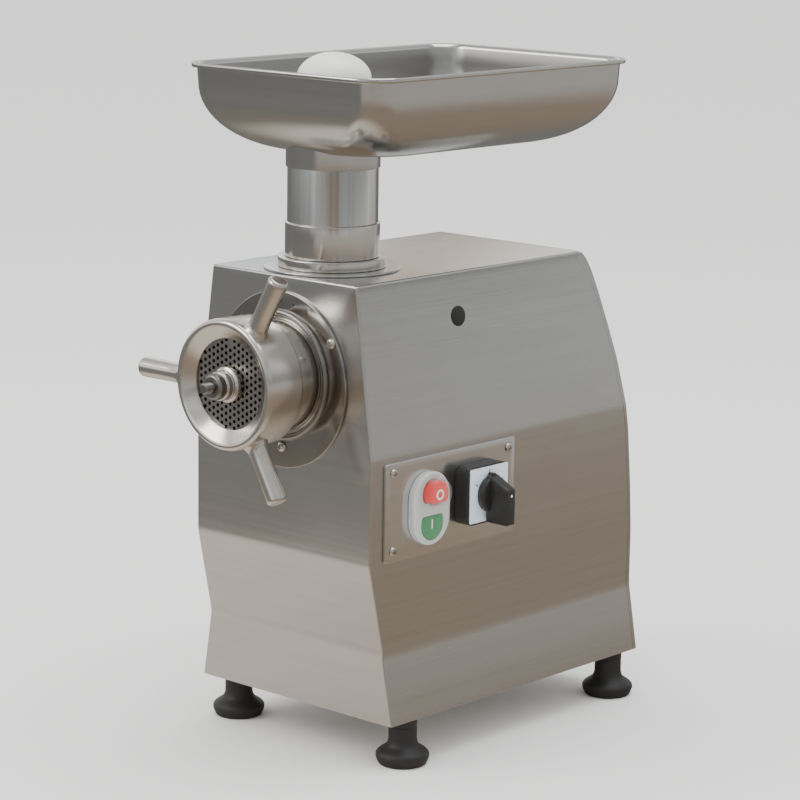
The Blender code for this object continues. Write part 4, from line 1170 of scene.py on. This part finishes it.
class GRINDER_OT_worm(bpy.types.Operator):
    """Builds the feed worm with its stud, flight and drive tang"""

    bl_idname = "grinder.worm"
    bl_label = "Worm"

    def execute(self, context):
        ridge = []
        for i in range(5):
            y = -90.6 + 1.5 * i
            ridge += [(4.7, y, 0.2), (4.2, y + 0.75, 0.2)]
        stud = soften([
            (0, -92.0), (3.8, -92.0, 0.5), *ridge, (4.7, -82.6, 0.3), (4.7, -61.6, 0.2),
            (9.5, -61.6, 0.3), (9.5, -51.9, 0.2), (5.0, -51.9, 0.1), (5.0, -24.0, 0.4), (0, -24.0),
        ], closed=False)
        stud = head_lathe("stud", stud, 64)
        fit(stud, "bead_steel", "worm", ("worm_stud",))

        core = soften([
            (0, -51.6), (8.0, -51.6, 0.3), (8.0, -41.9, 0.1), (13.0, -41.9, 0.3), (13.6, -41.2, 0.3),
            (17.5, 60.0, 4.0), (19.0, 112.0, 0.5), (16.0, 112.6, 0.3), (16.0, 122.3, 0.5),
            (0, 122.3),
        ], closed=False)
        worm = head_lathe("worm_core", core, 64)
        turns, front, rear = 3, -41.0, 110.0
        steps = 36 * turns
        section = soften([(12.0, -4.0, 0), (37.8, -2.0, 0.6), (37.8, 2.0, 0.6), (12.0, 4.5, 0)])
        loops = []
        for i in range(steps + 1):
            share = i / steps
            turn = 2 * math.pi * turns * share
            centre = front + 4.0 + (rear - front - 9.0) * (0.8 * share + 0.2 * share * share)
            loops.append([
                (r * math.cos(turn), centre + y, HEAD_Z + r * math.sin(turn)) for r, y in section
            ])
        flight = skin("worm_flight", loops)
        square = block("knife_square", (-8, -51.6, HEAD_Z - 8), (8, -41.0, HEAD_Z + 8), 0.6)
        tang = block("drive_tang", (-9, 120.0, HEAD_Z - 9), (9, 140.0, HEAD_Z + 9), 0.8)
        join(worm, flight, square, tang)
        cut(worm, peg("stud_bore", 5.3, 23.7, 60.0, FRONT, (0, 0, HEAD_Z)))
        fit(worm, "cast_steel", "worm", ("worm",))
        return {"FINISHED"}


# Controls

PANEL_FACE = 105.0


class GRINDER_OT_control_plate(bpy.types.Operator):
    """Builds the control plate and its screws"""

    bl_idname = "grinder.control_plate"
    bl_label = "Control Plate"

    def execute(self, context):
        def outline(inset):
            return rounded_rectangle((15.0 + inset, 180.0 + inset), (179.5 - inset, 264.0 - inset),
                                     2.5 - inset)

        plate = slab("panel", outline, SIDE_FACE + 0.3, PANEL_FACE, 0.35, SIDE)
        cut(plate, *control_openings("panel", 95.0, 112.0))
        fit(plate, "panel_steel", "machine", ("control_plate",))
        for i, (y, z) in enumerate(PANEL_SPOTS):
            screw = cross_screw(f"panel_fixing_{i + 1}", 3.9, 2.3, 2.0, SIDE, (PANEL_FACE, y, z))
            fit(screw, "screw_steel", "machine", (f"control_screw_{i + 1}",))
        return {"FINISHED"}


def d_outline(radius, foot, corner=1.2, flip=1):
    """A half-round key's outline as a function of inset: round above, flat at height foot."""
    def outline(inset):
        r = radius - inset
        low = foot + inset
        side = math.degrees(math.asin(low / r))
        first, *between, last = arc((0, 0), r, side, 180 - side, 40)
        rounded = soften([(*first, corner), *[(x, y, 0) for x, y in between], (*last, corner)])
        return [(x, flip * y) for x, y in rounded]
    return outline


class GRINDER_OT_push_buttons(bpy.types.Operator):
    """Builds the bezel, the stop and start buttons and the clear boot"""

    bl_idname = "grinder.push_buttons"
    bl_label = "Push Buttons"

    def execute(self, context):
        y, z = BUTTONS_YZ
        centre = (0, y, z)
        stop_at = (0, y, z + BUTTON_SPREAD)
        start_at = (0, y, z - BUTTON_SPREAD)

        bezel = slab("bezel", lambda i: obround(22.6 - i, BEZEL_HALF), PANEL_FACE + 0.3, 112.0,
                     1.6, SIDE, centre, 5)
        cut(bezel, slab("stop_hole", d_outline(12.4, -7.6), 100, 115, 0.0, SIDE, stop_at),
            slab("start_hole", d_outline(14.0, -7.6, 1.2, -1), 100, 115, 0.0, SIDE, start_at))
        fit(bezel, "bezel_plastic", "machine", ("button_bezel",))

        boot = slab("boot", lambda i: obround(21.2 - i, BEZEL_HALF), 112.3, 113.5, 0.8, SIDE,
                    centre, 4)
        join(boot, slab("boot_dome", d_outline(13.4, -8.6, 1.6), 112.6, 123.0, 2.6, SIDE,
                        stop_at, 6))
        cut(boot, slab("boot_hollow", d_outline(12.3, -7.5, 1.2), 110.0, 121.9, 1.8, SIDE,
                       stop_at, 5))
        fit(boot, "clear", "machine", ("button_boot",))

        stop = slab("stop_key", d_outline(11.4, -6.6, 1.0), 108.2, 120.4, 1.2, SIDE, stop_at, 4)
        join(stop, peg("stop_stem", 3.0, 99.5, 110.0, SIDE, stop_at, 32))
        fit(stop, "stop_red", "stop_button", ("stop_button",))
        ring = soften([(2.9, 120.55, 0.1), (4.6, 120.55, 0.1), (4.6, 120.0, 0), (2.9, 120.0, 0)])
        fit(lathe("stop_mark", ring, SIDE, stop_at, 48), "mark_white", "stop_button",
            ())

        start = slab("start_key", d_outline(13.4, -7.0, 1.0, -1), 108.2, 111.9, 0.8, SIDE,
                     start_at, 4)
        join(start, peg("start_stem", 3.0, 99.5, 110.0, SIDE, start_at, 32))
        fit(start, "start_green", "start_button", ("start_button",))
        bar = slab("start_mark",
                   lambda i: rounded_rectangle((i - 0.7, i - 4.0), (0.7 - i, 4.0 - i), 0.4, 3),
                   111.4, 112.05, 0.1, SIDE, start_at, 2)
        fit(bar, "mark_white", "start_button", ())

        coat(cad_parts["contact_block"], "black_plastic")
        return {"FINISHED"}


class GRINDER_OT_switch(bpy.types.Operator):
    """Builds the rotary switch: body, scale plate and lever knob"""

    bl_idname = "grinder.switch"
    bl_label = "Rotary Switch"

    def execute(self, context):
        y, z = SWITCH_YZ
        at = (0, y, z)
        body = slab(
            "switch_housing",
            lambda i: rounded_rectangle((i - 26.4, i - 25.6), (25.6 - i, 24.8 - i), 8.0 - i),
            PANEL_FACE + 0.3, 119.6, 1.0, SIDE, at, 4,
        )
        join(body, peg("switch_cams", 11.0, 72.0, 108.0, SIDE, at, 48))
        cut(body, peg("spindle_hole", 5.4, 108.7, 130.0, SIDE, at, 48))
        fit(body, "black_plastic", "machine", ("switch_body",))

        face = slab(
            "scale_plate",
            lambda i: rounded_rectangle((i - 24.2, i - 23.4), (24.2 - i, 23.4 - i), 1.6 - i),
            119.9, 121.0, 0.3, SIDE, at,
        )
        cut(face, peg("plate_hole", 5.4, 115, 125, SIDE, at, 48))
        fit(face, "grey_label", "machine", ("switch_plate",))

        def tick(inset):
            return rounded_rectangle((inset - 0.6, 17.2 + inset), (0.6 - inset, 21.4 - inset), 0.3, 3)

        for i, angle in enumerate((0, 60, -60)):
            axes = SIDE @ Matrix.Rotation(math.radians(angle), 4, "Z")
            mark = slab(f"scale_mark_{i}", tick, 120.8, 121.15, 0.05, axes, at, 2)
            fit(mark, "label_ink", "machine", ())

        hub = soften([
            (0, 127.6), (14.0, 127.6, 0.8), (15.6, 126.0, 0.8), (15.6, 121.3, 0.4), (5.0, 121.3, 0.1),
            (5.0, 109.2, 0.4), (0, 109.2),
        ], closed=False)
        knob = lathe("knob", hub, SIDE, at, 72)
        sections = (
            (123.5, -23.6, 16.8, 6.2), (126.5, -24.0, 16.4, 6.1), (143.6, -24.2, 7.8, 5.4),
            (145.2, -23.6, 7.0, 5.0), (145.8, -22.4, 5.6, 4.2),
        )
        loops = []
        for x, low, high, half in sections:
            loops.append([
                (a, b, x) for a, b in rounded_rectangle((-half, low), (half, high), 1.8, 5)
            ])
        join(knob, skin("knob_lever", loops, SIDE, at))
        nub = slab("knob_nub",
                   lambda i: rounded_rectangle((i - 2.4, 12.0 + i), (2.4 - i, 18.4 - i), 1.0),
                   121.5, 127.0, 0.8, SIDE, at, 3)
        join(knob, nub)
        fit(knob, "black_plastic", "switch_knob", ("switch_knob",))
        dot = soften([(0, 146.0), (1.1, 146.0, 0.1), (1.1, 145.6, 0), (0, 145.6)], closed=False)
        fit(lathe("knob_dot", dot, SIDE, (0, y, z + 1.5), 32), "mark_white", "switch_knob",
            ())
        return {"FINISHED"}


# Drive

DRIVE_FINISHES = {
    "gearbox_housing": "cast_aluminium", "gearbox_cover": "cast_aluminium",
    "output_bearing_front": "machine_steel", "output_bearing_rear": "machine_steel",
    "shaft_seal": "black_rubber", "idler_bearing_front": "machine_steel",
    "idler_bearing_rear": "machine_steel", "motor_bearing_front": "machine_steel",
    "motor_bearing_rear": "machine_steel", "output_gear": "machine_steel",
    "output_shaft": "machine_steel", "idler_gear": "machine_steel", "idler_shaft": "machine_steel",
    "motor_shaft": "machine_steel", "rotor": "machine_steel", "cooling_fan": "black_plastic",
    "motor_housing": "motor_paint", "stator": "copper", "motor_end_cap": "cast_aluminium",
    "start_capacitor": "motor_paint",
}


class GRINDER_OT_drive(bpy.types.Operator):
    """Gives the gearbox, the gears and the motor their finishes"""

    bl_idname = "grinder.drive"
    bl_label = "Drive Finishes"

    def execute(self, context):
        for node, look in DRIVE_FINISHES.items():
            coat(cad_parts[node], look)
        return {"FINISHED"}


# Studio

# Tones of mirror rays by height, straight down at 0 and straight up at 1, on the left and right.
LEFT_TONES = (
    (0.0, (0.50, 0.44, 0.38)), (0.40, (0.20, 0.20, 0.195)), (0.47, (0.19, 0.20, 0.20)),
    (0.52, (0.40, 0.43, 0.46)), (0.57, (1.50, 1.49, 1.47)), (0.68, (1.45, 1.43, 1.41)),
    (0.82, (0.75, 0.74, 0.73)), (1.0, (0.62, 0.62, 0.62)),
)
RIGHT_TONES = (
    (0.0, (0.40, 0.34, 0.28)), (0.40, (0.26, 0.20, 0.15)), (0.462, (0.27, 0.205, 0.155)),
    (0.480, (0.76, 0.77, 0.75)), (0.503, (0.76, 0.77, 0.76)), (0.512, (0.28, 0.265, 0.24)),
    (0.56, (0.30, 0.30, 0.29)), (0.66, (0.65, 0.65, 0.65)), (1.0, (0.70, 0.70, 0.70)),
)
# Tones of the room's upright bands.
BAND_TONES = (
    (0.36, (0.55, 0.45, 0.37)), (0.44, (0.93, 0.90, 0.86)), (0.50, (1.04, 1.04, 1.03)),
    (0.56, (0.80, 0.97, 1.10)), (0.66, (1.6, 1.57, 1.54)),
)
# The floor's tones in mirror rays by distance from its middle, on the left and on the right.
FLOOR_MIDDLE = (-0.15, -0.2, 0.0)
FLOOR_REACH = 4.0
FLOOR_HEIGHT = -0.0002
FLOOR_LEFT = (
    (0.0, (0.50, 0.45, 0.40)), (0.085, (0.47, 0.425, 0.375)), (0.125, (0.13, 0.115, 0.095)),
    (0.25, (0.105, 0.105, 0.10)), (1.0, (0.12, 0.12, 0.12)),
)
FLOOR_RIGHT = (
    (0.0, (0.50, 0.45, 0.40)), (0.085, (0.40, 0.34, 0.28)), (0.135, (0.178, 0.139, 0.106)),
    (0.36, (0.180, 0.145, 0.113)), (0.58, (0.27, 0.25, 0.225)), (1.0, (0.34, 0.33, 0.31)),
)


def by_ray(nodes, plain, mirrored):
    """One colour for most rays and another for mirror rays."""
    return nodes.mix(nodes.add("ShaderNodeLightPath").outputs["Is Glossy Ray"], plain, mirrored)


def floor_material():
    """Plain pale floor. In mirror rays it is pale near the machine and darker further out."""
    material, nodes, shader = start_material("Studio Floor")
    shader["Roughness"].default_value = 0.9
    shader["Specular IOR Level"].default_value = 0.1
    place = nodes.place()
    away = nodes.add("ShaderNodeVectorMath", {0: place, 1: FLOOR_MIDDLE}, operation="SUBTRACT")
    reach = nodes.add("ShaderNodeVectorMath", {0: away.outputs["Vector"]}, operation="LENGTH")
    reach = nodes.maths("MULTIPLY", reach.outputs["Value"], 1 / FLOOR_REACH)
    side = nodes.spread(nodes.parts(place)["X"], start=-0.2, end=0.2)
    tones = nodes.mix(side, nodes.ramp(reach, FLOOR_LEFT), nodes.ramp(reach, FLOOR_RIGHT))
    nodes.feed(by_ray(nodes, (0.90, 0.90, 0.895), tones), shader["Base Color"])
    return material


def light_world():
    """A pale backdrop. Mirror rays see a soft room: warm low on the right, grey in front, with
    upright bands of cool and warm light."""
    world = bpy.data.worlds.new("Studio Room")
    bpy.context.scene.world = world
    world.use_nodes = True
    nodes = Nodes(world.node_tree)
    place = nodes.place("Generated")
    parts = nodes.parts(place)
    height = nodes.spread(parts["Z"], start=-1.0, end=1.0)
    side = nodes.spread(parts["X"], start=-0.35, end=0.35)
    tones = nodes.mix(side, nodes.ramp(height, LEFT_TONES), nodes.ramp(height, RIGHT_TONES))
    spot = nodes.add("ShaderNodeMapping", {"Vector": place, "Scale": (3.4, 3.4, 0.25)})
    noise = nodes.noise(spot.outputs["Vector"], Scale=1.7, Detail=2.0)
    room = nodes.mix(1.0, tones, nodes.ramp(noise, BAND_TONES), blend_type="MULTIPLY")
    colour = by_ray(nodes, (1.5, 1.5, 1.49), room)
    backdrop = nodes.add("ShaderNodeBackground", {"Color": colour})
    nodes.add("ShaderNodeOutputWorld", {"Surface": backdrop.outputs["Background"]})


def soft_light(name, place, size, power, colour):
    """A rectangular light that looks at the machine's middle."""
    lamp = bpy.data.lights.new(name, "AREA")
    lamp.shape = "RECTANGLE"
    lamp.size, lamp.size_y = size
    lamp.energy = power
    lamp.color = colour
    holder = bpy.data.objects.new(name, lamp)
    bpy.context.scene.collection.objects.link(holder)
    holder.location = place
    aim = (Vector((0, 0, 0.3)) - Vector(place)).to_track_quat("-Z", "Y")
    holder.rotation_euler = aim.to_euler()


def place_camera(focal_length):
    """The camera ahead of the machine's right front corner, a little above it."""
    azimuth, elevation, roll = math.radians(42.0), math.radians(11.39), math.radians(0.82)
    ahead = Vector((
        -math.sin(azimuth) * math.cos(elevation), math.cos(azimuth) * math.cos(elevation),
        -math.sin(elevation),
    ))
    right = Vector((math.cos(azimuth), math.sin(azimuth), 0.0))
    above = right.cross(ahead)
    x_axis = right * math.cos(roll) + above * math.sin(roll)
    y_axis = above * math.cos(roll) - right * math.sin(roll)
    turn = Matrix((x_axis, y_axis, -ahead)).transposed()
    data = bpy.data.cameras.new("Camera")
    data.lens = focal_length
    data.sensor_width = 36.0
    camera = bpy.data.objects.new("Camera", data)
    bpy.context.scene.collection.objects.link(camera)
    place = Vector((1668.2, -1705.4, 787.1)) * MM + ORIGIN
    camera.matrix_world = Matrix.Translation(place) @ turn.to_4x4()
    bpy.context.scene.camera = camera


class GRINDER_OT_studio(bpy.types.Operator):
    """Sets the floor, the lights and the camera"""

    bl_idname = "grinder.studio"
    bl_label = "Studio"

    def execute(self, context):
        studio = context.scene.grinder_studio
        shape = bmesh.new()
        bmesh.ops.create_circle(shape, cap_ends=True, segments=96, radius=14.0)
        mesh = bpy.data.meshes.new("studio_floor")
        shape.to_mesh(mesh)
        shape.free()
        mesh.materials.append(floor_material())
        floor = bpy.data.objects.new("studio_floor", mesh)
        floor.location.z = FLOOR_HEIGHT
        context.scene.collection.objects.link(floor)
        light_world()
        soft_light("key_light", (-1.3, -2.1, 2.0), (1.6, 1.2), studio.key_power, (1.0, 0.98, 0.95))
        soft_light("top_light", (0.2, 0.4, 2.7), (1.8, 1.8), studio.top_power, (1.0, 1.0, 1.0))
        place_camera(studio.focal_length)
        return {"FINISHED"}


BUILD_ORDER = (
    GRINDER_OT_studio, GRINDER_OT_casing, GRINDER_OT_back_cover, GRINDER_OT_feet,
    GRINDER_OT_fittings, GRINDER_OT_feed, GRINDER_OT_tray, GRINDER_OT_pusher, GRINDER_OT_flange,
    GRINDER_OT_barrel, GRINDER_OT_plate, GRINDER_OT_ring_nut, GRINDER_OT_worm,
    GRINDER_OT_control_plate, GRINDER_OT_push_buttons, GRINDER_OT_switch, GRINDER_OT_drive,
)


class GRINDER_PT_panel(bpy.types.Panel):
    """Lists the grinder's settings and build steps"""

    bl_idname = "GRINDER_PT_panel"
    bl_label = "Meat Grinder"
    bl_space_type = "VIEW_3D"
    bl_region_type = "UI"
    bl_category = "Grinder"

    def draw(self, context):
        column = self.layout.column()
        for settings in ("grinder_finish", "grinder_shape", "grinder_studio"):
            group = getattr(context.scene, settings)
            for name in group.__annotations__:
                column.prop(group, name)
        for operator in BUILD_ORDER:
            column.operator(operator.bl_idname)


SETTINGS = (
    (GrinderFinish, "grinder_finish"), (GrinderShape, "grinder_shape"),
    (GrinderStudio, "grinder_studio"),
)


def register():
    for group, name in SETTINGS:
        bpy.utils.register_class(group)
        setattr(bpy.types.Scene, name, bpy.props.PointerProperty(type=group))
    for operator in BUILD_ORDER:
        bpy.utils.register_class(operator)
    bpy.utils.register_class(GRINDER_PT_panel)


def unregister():
    bpy.utils.unregister_class(GRINDER_PT_panel)
    for operator in reversed(BUILD_ORDER):
        bpy.utils.unregister_class(operator)
    for group, name in reversed(SETTINGS):
        delattr(bpy.types.Scene, name)
        bpy.utils.unregister_class(group)


def main():
    register()
    for operator in BUILD_ORDER:
        family, step = operator.bl_idname.split(".")
        result = getattr(getattr(bpy.ops, family), step)()
        if result != {"FINISHED"}:
            raise RuntimeError(f"{operator.bl_label} did not finish")


if __name__ == "__main__":
    main()
